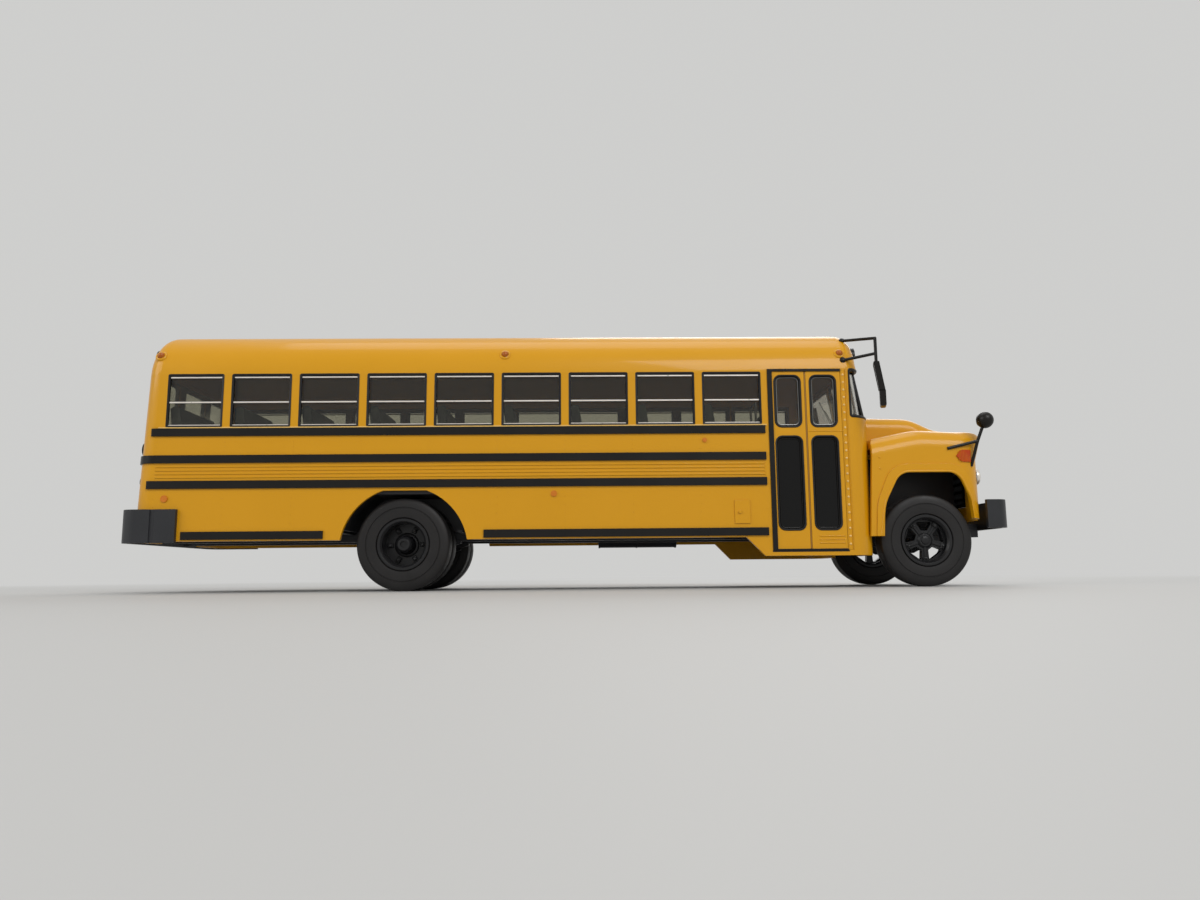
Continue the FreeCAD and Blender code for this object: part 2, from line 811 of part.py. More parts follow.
def build_entrance(walls):
    """The entrance door is cut from the same walls as its doorway, so that it lies flush."""
    region = block("door_region", grown(DOORWAY, "-fit_gap"), RIGHT, grown(DOOR_HEIGHT, "-fit_gap"))
    panel = overlap("door_panel", walls, region)
    lights = [pillow("door_light", x, RIGHT, z, "door_light_radius", Y_AXIS) for x, z in DOOR_LIGHTS]
    middle = "(door_rear_x + door_width / 2)"
    groove = block("door_groove", grown((middle, middle), "door_groove / 2"),
                   ("-body_width", "-%s + door_groove" % FACE_Y), DOOR_HEIGHT)
    node("entrance_door", cut("entrance_door", panel, groove, *lights))
    outside = "-%s + wall / 2" % FACE_Y
    depth = (outside, outside + " + glass")
    round_in = "door_light_radius - fit_gap / 2"
    for name, height in (("door_glass", LIGHT_HIGH), ("door_glass_lower", LIGHT_LOW)):
        z = grown(height, "-fit_gap / 2")
        panes = [pillow(name + "_pane", grown(x, "-fit_gap / 2"), depth, z, round_in, Y_AXIS)
                 for x in (LIGHT_REAR, LIGHT_FRONT)]
        node(name, group(name, *panes))
    depth = on_face("-", "seal_proud")
    start = "(door_rear_x - seal_overlap)"
    upright = block("seal_upright", (start, start + " + seal_width"), depth, ("door_bottom_z", "door_top_z"))
    header = block("seal_header", (start, DOOR_FRONT), depth, ("door_top_z - header_height", "door_top_z"))
    sill = block("seal_sill", (start, DOOR_FRONT), depth, ("door_bottom_z", "door_bottom_z + sill_line"))
    node("door_seal", join("door_seal", upright, header, sill))


def build_emergency_door(walls):
    across = grown(REAR_DOORWAY, "-fit_gap")
    region = block("rear_door_region", REAR_END, across, grown(REAR_DOOR_HEIGHT, "-fit_gap"))
    panel = overlap("rear_door_panel", walls, region)
    light = grown(REAR_DOORWAY, "-rear_door_frame")
    low_height = ("rear_door_bottom_z + rear_door_low_light", "belt_rail_z + rail_height")
    high = pillow("rear_door_high", REAR_END, light, WINDOW_HEIGHT, "window_radius", X_AXIS)
    low = pillow("rear_door_low", REAR_END, light, low_height, "window_radius", X_AXIS)
    node("emergency_door", cut("emergency_door", panel, high, low))


def build_glass():
    """Clear strips inside the walls, with a pane that fills each side window."""
    outside = body_form("glass_outside", "(wall + fit_gap)", open_skirt)
    inside = body_form("glass_inside", "(wall + fit_gap + glass)", open_skirt)
    flush = body_form("pane_face", "pane_recess", open_skirt)
    span = (WINDOWS[-1][0] + " - glass_margin", WINDOWS[0][1] + " + glass_margin")
    strip = block("glass_strip", span, ("-" + INSIDE_Y, "-%s + glass" % INSIDE_Y), GLASS_HEIGHT)
    depth = ("-" + FACE_Y, "-%s + glass / 2" % INSIDE_Y)
    round_in = "window_radius - fit_gap"
    height = grown(WINDOW_HEIGHT, "-fit_gap")
    panes = [pillow("side_pane", grown(x, "-fit_gap"), depth, height, round_in, Y_AXIS) for x in WINDOWS]
    panes = overlap("side_panes", group("side_pane_blocks", *panes), flush)
    seated = overlap("glass_strip_seated", strip, outside)
    right = node("side_glass_right", join("side_glass_right", seated, panes))
    driver_strip = block("driver_glass_strip", grown(DRIVER_WINDOW, "glass_margin"),
                         (INSIDE_Y + " - glass", INSIDE_Y), GLASS_HEIGHT)
    driver_pane = pillow("driver_pane", grown(DRIVER_WINDOW, "-fit_gap"),
                         (INSIDE_Y + " - glass / 2", FACE_Y + " - pane_recess"),
                         height, round_in, Y_AXIS)
    far_side = mirrored("side_glass_mirrored", right)
    node("side_glass_left", join("side_glass_left", far_side, driver_strip, driver_pane))
    layer = cut("glass_layer", outside, inside)
    screen = block("screen_region", ("corner_pane_x - glass_margin", FRONT_END[1]), ACROSS,
                   ("cowl_z + fit_gap", "brow_z - fit_gap"))
    node("windshield", overlap("windshield", layer, screen))
    across = grown(("-rear_light_outer_y", "rear_light_outer_y"), "glass_margin")
    rear = block("rear_glass_region", REAR_END, across, ("floor_z + 2 * fit_gap", GLASS_HEIGHT[1]))
    thin = block("rear_glass_depth", ("body_rear_x", "body_rear_x + end_radius"), across, ("0", "crown_z"))
    node("rear_glass", overlap("rear_glass", overlap("rear_glass_sheet", layer, rear), thin))


def build_rails(outer):
    """Black rub rails: stretches of a band that lies proud of the body, round the rear corners too."""
    band = cut("rail_band", body_form("rail_form", "(-rail_proud)", stepped_skirt), outer)
    behind_arch = "rear_arch_x - rear_arch_radius - skirt_rail_gap"
    before_arch = "rear_arch_x + rear_arch_radius + skirt_rail_gap"
    sides = (("rub_rails_right", "-", "rail_front_x"), ("rub_rails_left", "", DOOR_FRONT))
    for name, sign, front_x in sides:
        lines = [
            ("window_rail_rear_x", front_x, "window_rail_z"),
            (REAR_END[0], front_x, "belt_rail_z"),
            ("floor_rail_rear_x", front_x, "floor_rail_z"),
            ("rear_bumper_x + rear_bumper_return + wall", behind_arch, "skirt_rail_z"),
            (before_arch, "rail_front_x", "skirt_rail_z"),
        ]
        y = sorted((sign + "body_width", sign + "(rear_door_width / 2 + seal_width)"), key=num)
        rails = []
        for start, end, low in lines:
            stretch = block("rail_stretch", (start, end), y, (low, low + " + rail_height"))
            rails.append(overlap("rub_rail", band, stretch))
        node(name, group(name, *rails))


def build_fuel_door():
    flap = block("fuel_flap", ("fuel_x", "fuel_x + fuel_width"), on_face("-", "fuel_proud"),
                 ("fuel_z", "fuel_z + fuel_height"))
    knob = rod("fuel_knob", "y", "fuel_knob_radius", "2 * fuel_proud", "fuel_x + fuel_width / 3",
               "-%s - 2.5 * fuel_proud" % FACE_Y, "fuel_z + fuel_height / 2")
    node("fuel_door", join("fuel_door", flap, knob))


def arch_outline(grown_by):
    """The front wheel arch, let out by a distance for its lip."""
    rear = FRONT_AXLE + " - %s - " + grown_by
    front = FRONT_AXLE + " + %s + " + grown_by
    return [
        (rear % "arch_foot_rear", "0"),
        (rear % "arch_knee_rear", "arch_knee_z", "arch_rear_bend + " + grown_by),
        (rear % "arch_top_rear", "arch_top_z + " + grown_by, "arch_round + " + grown_by),
        (front % "arch_top_front", "arch_top_z + " + grown_by, "arch_round + " + grown_by),
        (front % "arch_knee_front", "arch_front_z", "arch_front_bend + " + grown_by),
        (front % "arch_foot_front", "step_skirt_z"),
        (front % "arch_foot_front", "0"),
    ]


def fender_edges(shape, inset):
    """The edges round a fender slab: along both tops, down both front corners and across the brow."""
    half = num("fender_width / 2 - %s" % inset)
    chosen = []
    for number, edge in enumerate(shape.Edges, 1):
        box = edge.BoundBox
        radius = None
        if box.YMax - box.YMin > half:
            is_ahead_of_arch = box.XMin > num("fender_front_x - wall")
            is_over_lamps = box.ZMin > num("fender_brow_foot_z + wall")
            radius = "fender_brow_radius" if is_ahead_of_arch and is_over_lamps else None
        elif box.XMin > num("fender_front_x - 2 * wall"):
            radius = "fender_front_radius"
        elif box.ZMin > num("fender_rear_z - 2 * wall") and box.XMax > num("body_front_x"):
            radius = "fender_radius"
        if radius:
            size = num("%s - %s" % (radius, inset))
            chosen.append((number, size, size))
    return chosen


def is_hood_edge(edge):
    box = edge.BoundBox
    outside = box.YMax - box.YMin < 1e-6
    behind = box.XMax < num("fender_rear_x + wall")
    below = box.ZMax < num("nose_bottom_z")
    return outside and not behind and not below


def fender_rear(z):
    """Where a fender's leaning rear edge is at a height."""
    return "fender_rear_x + %s * (%s - skirt_z)" % (FENDER_LEAN, z)


def fender_corner(name, inset):
    """What rounds the fender's rear top corner, seen from the side."""
    slope = "(fender_crown_z - fender_rear_z) / (fender_crown_x - fender_rear_x)"
    top = "(fender_rear_z - %s)" % inset
    reach = "(2 * fender_corner)"
    low = "(%s - %s)" % (top, reach)
    corner_x = fender_rear(top)
    return slab(name, "XZ", [
        ("fender_rear_x - " + PAST, "%s + %s" % (top, PAST)),
        ("fender_rear_x - " + PAST, low),
        (fender_rear(low), low),
        (corner_x, top, "fender_corner"),
        ("%s + %s" % (corner_x, reach), "%s + %s * %s" % (top, slope, reach)),
        ("%s + %s" % (corner_x, reach), "%s + %s" % (top, PAST)),
    ], *ACROSS)


def front_form(name, inset, bottom):
    """The hood between its fenders, set in by a distance."""
    fender_front = "fender_front_x - %s" % inset
    slab_form = slab(name + "_fender_slab", "XZ", [
        (fender_rear(bottom), bottom),
        (fender_rear("(fender_rear_z - %s)" % inset), "fender_rear_z - %s" % inset),
        ("fender_crown_x", "fender_crown_z - %s" % inset, "fender_crown_bend"),
        (fender_front + " + fender_brow", "fender_brow_z - %s" % inset),
        (fender_front, "fender_brow_foot_z"),
        (fender_front, bottom),
    ], "-fender_width / 2 + %s" % inset, "fender_width / 2 - %s" % inset)
    DOC.recompute()
    fender = DOC.addObject("Part::Fillet", name + "_fender")
    fender.Base = slab_form
    fender.Edges = fender_edges(slab_form.Shape, inset)
    fender = cut(name + "_fender_cut", fender, fender_corner(name + "_fender_corner", inset))
    hood_front = "nose_x - %s" % inset
    hood = slab(name + "_hood_slab", "XZ", [
        ("fender_rear_x", bottom),
        ("fender_rear_x", "hood_rear_z - %s" % inset),
        ("hood_bend_x", "hood_bend_z - %s" % inset, "hood_bend"),
        ("hood_dip_x", "hood_dip_z - %s" % inset, "hood_bend"),
        (hood_front, "hood_front_z - %s" % inset, "nose_radius - %s" % inset),
        (hood_front, bottom),
    ], "-hood_width / 2 + %s" % inset, "hood_width / 2 - %s" % inset)
    hood = rounded(name + "_hood", hood, "hood_radius - %s" % inset, is_hood_edge)
    return join(name, fender, hood)


def build_front(outer):
    """Hood and fenders as one hollow casting with lipped wheel arches, a mouth and two lamp holes."""
    form = front_form("front_outer", "0", "skirt_z")
    inside = front_form("front_inner", "wall", "0")
    proud = front_form("front_proud", "(-arch_lip_proud)", "skirt_z")
    arch = slab("front_arch", "XZ", arch_outline("0"), *ACROSS)
    lip_area = slab("lip_area", "XZ", arch_outline("arch_lip"), *ACROSS)
    chin = block("chin", ("chin_x", "nose_x + " + PAST), ACROSS, ("0", "nose_bottom_z"))
    ahead = ("fender_front_x - 2 * nose_radius", "nose_x + " + PAST)
    mouth = pillow("mouth", ahead, ("-grille_width / 2", "grille_width / 2"),
                   ("grille_bottom_z", "grille_top_z"), "window_radius", X_AXIS)
    eyes = [rod("eye", "x", "headlamp_radius", "4 * nose_radius", ahead[0], y, "headlamp_z")
            for y in ("-headlamp_y", "headlamp_y")]
    panels = cut("front_panels", form, inside, outer, arch, chin, mouth, *eyes)
    lips = cut("arch_lips", overlap("lip_band", proud, lip_area), inside, outer, arch, chin)
    node("hood_and_fenders", join("hood_and_fenders", panels, lips))
    build_grille()
    build_headlamps()
    build_signals(form, proud)


def build_grille():
    half = "(grille_width / 2 - fit_gap)"
    x = ("nose_x - grille_recess - grille_depth", "nose_x - grille_recess")
    z = grown(("grille_bottom_z", "grille_top_z"), "-fit_gap")
    frame = pillow("grille_plate", x, ("-" + half, half), z, "window_radius - fit_gap", X_AXIS)
    hole = block("grille_hole", grown(x, PAST), ("-%s + grille_bar" % half, half + " - grille_bar"),
                 grown(z, "-grille_bar"))
    bars = []
    count = int(SIZES["grille_bars"])
    for number in range(count):
        middle = "grille_bottom_z + (grille_top_z - grille_bottom_z) * %d / %d" % (number + 1, count + 1)
        bars.append(block("grille_bar", (x[0], x[1] + " - grille_recess / 2"), ("-" + half, half),
                          grown((middle, middle), "grille_bar / 2")))
    node("grille", join("grille", cut("grille_frame", frame, hole), *bars))


def build_headlamps():
    start = "fender_front_x + headlamp_proud - headlamp_depth"
    lamps = [rod("headlamp", "x", "headlamp_radius - fit_gap", "headlamp_depth", start, y, "headlamp_z")
             for y in ("-headlamp_y", "headlamp_y")]
    node("headlamps", group("headlamps", *lamps))


def build_signals(form, proud):
    """A pointed amber lamp that follows the fender's side, on both sides."""
    low = "signal_z"
    high = "signal_z + signal_height"
    shoulder = "signal_x + signal_length / 3"
    outline = [
        ("signal_x", "signal_z + signal_height / 2"),
        (shoulder, low, "signal_round"),
        ("signal_x + signal_length", low),
        ("signal_x + signal_length", high),
        (shoulder, high, "signal_round"),
    ]
    pairs = []
    for side in (("-body_width", "-headlamp_y"), ("headlamp_y", "body_width")):
        region = slab("signal_region", "XZ", outline, *side)
        pairs.append(cut("signal", overlap("signal_block", proud, region), form))
    node("front_turn_signals", group("front_turn_signals", *pairs))


def turned_in_bar(name, x, half, inner_x, inner_half, z, is_outer):
    """A bumper whose ends turn in: a block with round corners, hollowed from behind."""
    def is_corner(edge):
        return runs_along(edge, Z_AXIS) and is_outer(edge)

    solid = block(name + "_block", x, ("-" + half, half), z)
    solid = rounded(name + "_bar", solid, "bumper_radius", is_corner)
    hole = block(name + "_inside", inner_x, ("-" + inner_half, inner_half), grown(z, PAST))
    hole = rounded(name + "_hole", hole, "bumper_radius - bumper_wall", is_corner)
    return cut(name, solid, hole)


def build_bumpers():
    def is_ahead(edge):
        return edge.BoundBox.XMin > num("front_bumper_x - 2 * bumper_wall")

    def is_behind(edge):
        return edge.BoundBox.XMax < num("rear_bumper_x + 2 * bumper_wall")

    back = "front_bumper_x - front_bumper_return"
    z = ("front_bumper_bottom_z", "front_bumper_bottom_z + front_bumper_height")
    node("front_bumper", turned_in_bar("front_bumper", (back, "front_bumper_x"), "(front_bumper_width / 2)",
                                       ("%s - %s" % (back, PAST), "front_bumper_x - bumper_wall"),
                                       "(front_bumper_width / 2 - bumper_wall)", z, is_ahead))
    half = "(rear_bumper_width / 2)"
    ahead = "rear_bumper_x + rear_bumper_return"
    z = ("rear_bumper_bottom_z", "rear_bumper_bottom_z + rear_bumper_height")
    solid = turned_in_bar("rear_bar", ("rear_bumper_x", ahead), half,
                          ("rear_bumper_x + bumper_wall", "%s + %s" % (ahead, PAST)), FACE_Y, z, is_behind)
    crease = ("rear_bumper_x + crease_setback", "rear_bumper_x + crease_setback + crease_width")
    right = block("bumper_crease", crease, ("-%s - %s" % (half, PAST), "-%s + crease_depth" % half), z)
    left = block("bumper_crease", crease, ("%s - crease_depth" % half, "%s + %s" % (half, PAST)), z)
    node("rear_bumper", cut("rear_bumper", solid, right, left))


def build_chassis():
    """Base plate with its frame rails, springs, wheel liner, rear axle case, drive shaft and screw bosses."""
    level = (PLATE_BOTTOM, "plate_top_z")
    sheet = block("plate_sheet", (REAR_END[0], "body_front_x - 2 * wall"), ACROSS, level)
    floor = overlap("plate_floor", sheet, body_form("plate_form", "(wall + fit_gap)", open_skirt))
    entrance = grown(DOORWAY, "step_margin")
    wells = [block("step_hole", entrance, ("-body_width", "-step_well_y"), grown(level, "plate"))]
    well_x = grown(("rear_arch_x", "rear_arch_x"), "rear_arch_radius")
    for y in (("-body_width", "-well_inner_y"), ("well_inner_y", "body_width")):
        wells.append(block("rear_well", well_x, y, grown(level, "plate")))
    half = "(plate_nose_width / 2)"
    nose = [block("plate_nose", ("body_front_x - cowl_radius", NOSE_END), ("-" + half, half), level)]
    for y in (("-" + half, "-%s + liner" % half), (half + " - liner", half)):
        nose.append(block("apron", ("body_front_x + fit_gap", NOSE_END), y, (PLATE_BOTTOM, "apron_top_z")))
    rails = []
    for sign in ("-", ""):
        middle = sign + "rail_spacing / 2"
        rails.append(block("frame_rail", ("rear_bumper_x + bumper_wall", "front_bumper_x - bumper_wall"),
                           grown((middle, middle), "frame_rail_width / 2"), (RAIL_BOTTOM, "plate_top_z")))
        for axle_x in ("rear_axle_x", FRONT_AXLE):
            rails.append(slab("leaf_spring", "XZ", spring_outline(axle_x),
                              *grown((middle, middle), "spring_width / 2")))
    diff = rod("diff_body", "y", "diff_radius", "diff_width", "rear_axle_x", "-diff_width / 2", "tyre_radius")
    shaft = rod("drive_shaft", "x", "shaft_radius", "wheelbase - shaft_gap", "rear_axle_x", "0",
                PLATE_BOTTOM + " - shaft_radius / 2")
    bosses = []
    bores = []
    for x in ("screw_x", "screw_x + screw_spacing"):
        bosses.append(rod("screw_boss", "z", "screw_radius + screw_wall", "screw_depth + screw_wall", x, "0",
                          PLATE_BOTTOM))
        bores.append(rod("screw_bore", "z", "screw_radius", "screw_depth + wall",
                         x, "0", PLATE_BOTTOM + " - wall"))
    for x in ("rear_axle_x", FRONT_AXLE):
        bores.append(rod("axle_bore", "y", "axle_radius + axle_play", "2 * body_width",
                         x, ACROSS[0], "tyre_radius"))
    plate = cut("plate_wells", floor, *wells)
    solid = join("plate_solid", plate, wheel_liner(), diff, shaft, *(nose + rails + bosses))
    node("base_plate", cut("base_plate", solid, *bores))


def spring_outline(axle_x):
    """Side outline of a leaf spring: level ends at the frame rail, a flat pad under the axle."""
    ends = grown((axle_x, axle_x), "spring_length / 2")
    pad = grown((axle_x, axle_x), "spring_pad / 2")
    low = "tyre_radius - axle_radius - spring_under"
    return [
        (ends[0], RAIL_BOTTOM + " + spring_end / 2"),
        (ends[0], RAIL_BOTTOM + " - spring_end / 2"),
        (pad[0], low),
        (pad[1], low),
        (ends[1], RAIL_BOTTOM + " - spring_end / 2"),
        (ends[1], RAIL_BOTTOM + " + spring_end / 2"),
    ]


def wheel_liner():
    """The rear wheel housings that follow the arches under the floor, closed towards the middle."""
    wide = grown(("rear_arch_x", "rear_arch_x"), "2 * rear_arch_radius")
    ceiling = "(floor_z - floor)"
    outside = rod("liner_out", "y", "rear_arch_radius + liner_gap + liner", "2 * " + INSIDE_Y, "rear_arch_x",
                  "-" + INSIDE_Y, "rear_arch_z")
    hollows = [rod("liner_in", "y", "rear_arch_radius + liner_gap", "body_width",
                   "rear_arch_x", y, "rear_arch_z")
               for y in ("-body_width - well_inner_y", "well_inner_y")]
    lid = block("liner_lid", wide, ACROSS, (ceiling + " - liner", "crown_z"))
    inside = cut("liner_inside", group("liner_hollows", *hollows), lid)
    foot = block("liner_foot", wide, ACROSS, ("-rear_arch_radius", PLATE_BOTTOM))
    head = block("liner_head", wide, ACROSS, (ceiling, "crown_z"))
    between = block("liner_between", wide, ("liner - well_inner_y", "well_inner_y - liner"), ("0", "crown_z"))
    return cut("liner_shape", outside, inside, foot, head, between)


def build_underbody():
    """What hangs from or stands on the base plate."""
    length = grown((FRONT_AXLE, FRONT_AXLE), "engine_length / 2")
    node("engine_block", block("engine_block", length, ("-engine_width / 2", "engine_width / 2"),
                               ("plate_top_z", "plate_top_z + engine_height")))
    node("radiator", block("radiator", (NOSE_END + " - radiator_depth", NOSE_END),
                           ("-radiator_width / 2", "radiator_width / 2"), ("plate_top_z", "grille_top_z")))
    pipe = rod("exhaust_pipe", "x", "exhaust_radius", "exhaust_length", "rear_bumper_x + 2 * bumper_wall",
               "exhaust_y", "exhaust_z")
    muffler = rod("muffler", "x", "muffler_radius", "muffler_length",
                  "muffler_x", "exhaust_y + muffler_shift", PLATE_BOTTOM + " - muffler_radius - fit_gap")
    node("exhaust", join("exhaust", pipe, muffler))


def build_interior():
    form = body_form("floor_form", "(wall + fit_gap)", open_skirt)
    level = ("floor_z - floor", "floor_z")
    region = block("floor_region", (REAR_END[0], "body_front_x - wall - glass_margin"), ACROSS, level)
    entrance = grown(DOORWAY, "step_margin")
    well = block("step_well", entrance, ("-body_width", "-step_well_y"), grown(level, "floor"))
    node("interior_floor", cut("interior_floor", overlap("floor_sheet", region, form), well))
    steps = slab("steps_sheet", "YZ", step_outline(), *DOORWAY)
    node("entry_steps", cut("entry_steps", steps, NODES["interior_floor"]))
    benches = [bench("bench_%d" % number, span[0]) for number, span in enumerate(WINDOWS)]
    right = node("seats_right", group("seats_right", *benches))
    node("seats_left", mirrored("seats_left", right))
    place_y = grown(("driver_seat_y", "driver_seat_y"), "driver_seat_width / 2")
    chair = seat_outline("(%s - driver_seat_back)" % DOOR_FRONT, "(bench_seat_z + floor)",
                         "bench_top_z + driver_seat_rise")
    node("driver_seat", slab("driver_seat", "XZ", chair, *place_y))
    build_dashboard()
    build_steering()


def step_outline():
    """Three treads and risers from the entrance up to the floor, as one bent sheet seen from the front."""
    rise = "((floor_z - step_skirt_z - step_lowest - step_thickness) / 3)"
    low = "(step_skirt_z + step_lowest)"
    edge_y = ["(-step_well_y - %d * step_run)" % (2 - step) for step in range(3)]
    treads = ["(%s + step_thickness + %d * %s)" % (low, step, rise) for step in range(3)] + ["floor_z"]
    upper = [("-" + INSIDE_Y, low), ("-" + INSIDE_Y, treads[0])]
    lower = []
    for step, y in enumerate(edge_y):
        upper.append((y, treads[step]))
        upper.append((y, treads[step + 1]))
        under = "floor_z" if step == 2 else treads[step + 1] + " - step_thickness"
        lower.insert(0, (y + " + step_thickness", treads[step] + " - step_thickness"))
        lower.insert(0, (y + " + step_thickness", under))
    return upper + lower


def seat_outline(x, seat_z, top_z):
    """Side outline of a bench: its back, cushion and foot."""
    return [
        (x, "floor_z"),
        (x, seat_z),
        ("%s - bench_lean" % x, top_z, "bench_round"),
        ("%s - bench_lean + bench_top" % x, top_z, "bench_round"),
        ("%s + bench_back" % x, seat_z),
        ("%s + bench_depth" % x, seat_z, "bench_round"),
        ("%s + bench_depth" % x, "%s - cushion" % seat_z, "bench_round"),
        ("%s + bench_foot" % x, "%s - cushion" % seat_z),
        ("%s + bench_foot" % x, "floor_z"),
    ]


def bench(name, window_x):
    outside = "(%s - glass - fit_gap)" % INSIDE_Y
    outline = seat_outline("(%s + bench_offset)" % window_x, "bench_seat_z", "bench_top_z")
    return slab(name, "XZ", outline, "-" + outside, "-%s + bench_width" % outside)


def build_dashboard():
    front = "(body_front_x - wall - glass - 3 * fit_gap)"
    dash = slab("dashboard", "XZ", [
        (front + " - dash_depth", "floor_z"),
        (front + " - dash_depth - dash_bulge", "cowl_z - dash_brow"),
        (front + " - dash_depth", "cowl_z - dash_edge"),
        (front, "cowl_z - dash_edge / 3"),
        (front, "floor_z"),
    ], "-dash_width / 2", "dash_width / 2")
    node("dashboard", dash)


def hoop(name, radius, thickness):
    """A ring about Z with a six-sided section."""
    corners = []
    for step in range(6):
        angle = math.radians(60 * step)
        corners.append(("%s + %s * %.6f" % (radius, thickness, math.cos(angle)),
                        "%s * %.6f" % (thickness, math.sin(angle))))
    sketch = DOC.addObject("Sketcher::SketchObject", name + "_section")
    draw(sketch, corners)
    place(sketch, rotation=PLANES["XZ"])
    item = DOC.addObject("Part::Revolution", name)
    item.Source = sketch
    item.Axis = Z_AXIS
    item.Angle = 360
    item.Solid = True
    return item


def bar(name, radius, length, direction):
    """A six-sided bar from the origin in a direction."""
    item = DOC.addObject("Part::Prism", name)
    item.Polygon = 6
    bind(item, Circumradius=radius, Height=length)
    return place(item, rotation=Rotation(Z_AXIS, direction))


def build_steering():
    """A steering wheel with three spokes on a leaning column."""
    pieces = [hoop("wheel_ring", "wheel_ring_radius", "wheel_ring")]
    for turn in (90, 210, 330):
        angle = math.radians(turn)
        outwards = Vector(math.cos(angle), math.sin(angle), 0)
        pieces.append(bar("wheel_spoke", "wheel_spoke", "wheel_ring_radius", outwards))
    pieces.append(bar("wheel_hub", "wheel_hub", "wheel_hub / 2", Z_AXIS))
    pieces.append(bar("wheel_column", "column_radius", "column_length", -Z_AXIS))
    wheel = join("wheel_and_column", *pieces)
    place(wheel, "body_front_x - wall - wheel_setback", "driver_seat_y", "cowl_z - wheel_ring",
          Rotation(Y_AXIS, -STEERING_TILT))
    node("steering_wheel", cut("steering_wheel", wheel, NODES["dashboard"]))


def boss(name, radius, proud, x, ahead, y, z):
    """A short rod that stands proud of the front, or of the rear, rooted in the wall."""
    root = "%s - wall" % x if ahead else "%s - %s" % (x, proud)
    return rod(name, "x", radius, "wall + " + proud, root, y, z)


def build_warning_lamps(outer):
    """Round lamps over the windshield and the rear window, each under a short visor."""
    visors = []
    ends = ((BROW_X, True), ("(body_rear_x + rear_lean * (warning_z - skirt_z))", False))
    colours = (("warning_lamps_red", "warning_outer_y"), ("warning_lamps_amber", "warning_inner_y"))
    for name, across in colours:
        lamps = []
        for y in ("-" + across, across):
            for x, ahead in ends:
                spot = (x, ahead, y, "warning_z")
                lamps.append(boss(name + "_lamp", "warning_radius", "warning_proud", *spot))
                ring = boss("visor_outside", "warning_radius + visor", "visor_length", *spot)
                room = "warning_radius + fit_gap / 2"
                inner = boss("visor_inside", room, "2 * visor_length", *spot)
                lower = block("visor_lower", grown((x, x), PAST), grown((y, y), "2 * warning_radius"),
                              ("warning_z - 2 * warning_radius", "warning_z - warning_radius / 3"))
                visors.append(cut("visor_ring", ring, inner, lower, outer))
        node(name, group(name, *[cut(name + "_seated", lamp, outer) for lamp in lamps]))
    node("lamp_visors", group("lamp_visors", *visors))


def half_width(z):
    """Half the body's width at a height on its round shoulder."""
    across = num("body_width / 2 - shoulder_radius")
    reach = num("crown_radius - shoulder_radius")
    centre = num("crown_z - crown_radius") + math.sqrt(reach ** 2 - across ** 2)
    rise = max(num(z) - centre, 0)
    return across + math.sqrt(num("shoulder_radius") ** 2 - rise ** 2)


def ball(name, radius, x, y, z):
    item = DOC.addObject("Part::Sphere", name)
    bind(item, Radius=radius)
    return place(item, x, y, z)


def build_clearance_lamps(outer):
    """Small domes on the shoulders: red at the rear, amber in the middle and at the front."""
    markers = {"clearance_lamps_red": ["body_rear_x + marker_setback"],
               "clearance_lamps_amber": ["marker_middle_x", BROW_X + " - marker_setback"]}
    y = half_width("marker_z")
    for name, places in markers.items():
        domes = [ball("marker_ball", "marker_radius", x, "%g" % (sign * y), "marker_z")
                 for x in places for sign in (-1, 1)]
        node(name, group(name, *[cut("marker", dome, outer) for dome in domes]))


def build_tail_lamps(outer):
    tails = []
    for z, radius in (("tail_z", "tail_radius"), ("tail_low_z", "tail_low_radius")):
        rear_x = "(body_rear_x + rear_lean * (%s - skirt_z))" % z
        for y in ("-tail_y", "tail_y"):
            tails.append(boss("tail", radius, "tail_proud", rear_x, False, y, z))
    node("tail_lamps", group("tail_lamps", *[cut("tail_seated", lamp, outer) for lamp in tails]))


def build_side_markers():
    """Small round reflectors low on both sides."""
    sides = []
    for x, z, radius in SIDE_MARKERS:
        for sign in ("-", ""):
            sides.append(rod("side_marker", "y", radius, "side_marker_proud", x,
                             on_face(sign, "side_marker_proud")[0], z))
    node("side_markers", group("side_markers", *sides))


def wire(name, points):
    """A bent wire through points: straight rods with round joints."""
    radius = num("wire_radius")
    spots = [Vector(*[num(text) for text in point]) for point in points]
    shapes = [Part.makeCylinder(radius, (b - a).Length, a, b - a) for a, b in zip(spots, spots[1:])]
    shapes += [Part.makeSphere(radius, spot) for spot in spots[1:-1]]
    item = DOC.addObject("Part::Feature", name)
    item.Shape = shapes[0].fuse(shapes[1:]) if len(shapes) > 1 else shapes[0]
    return item


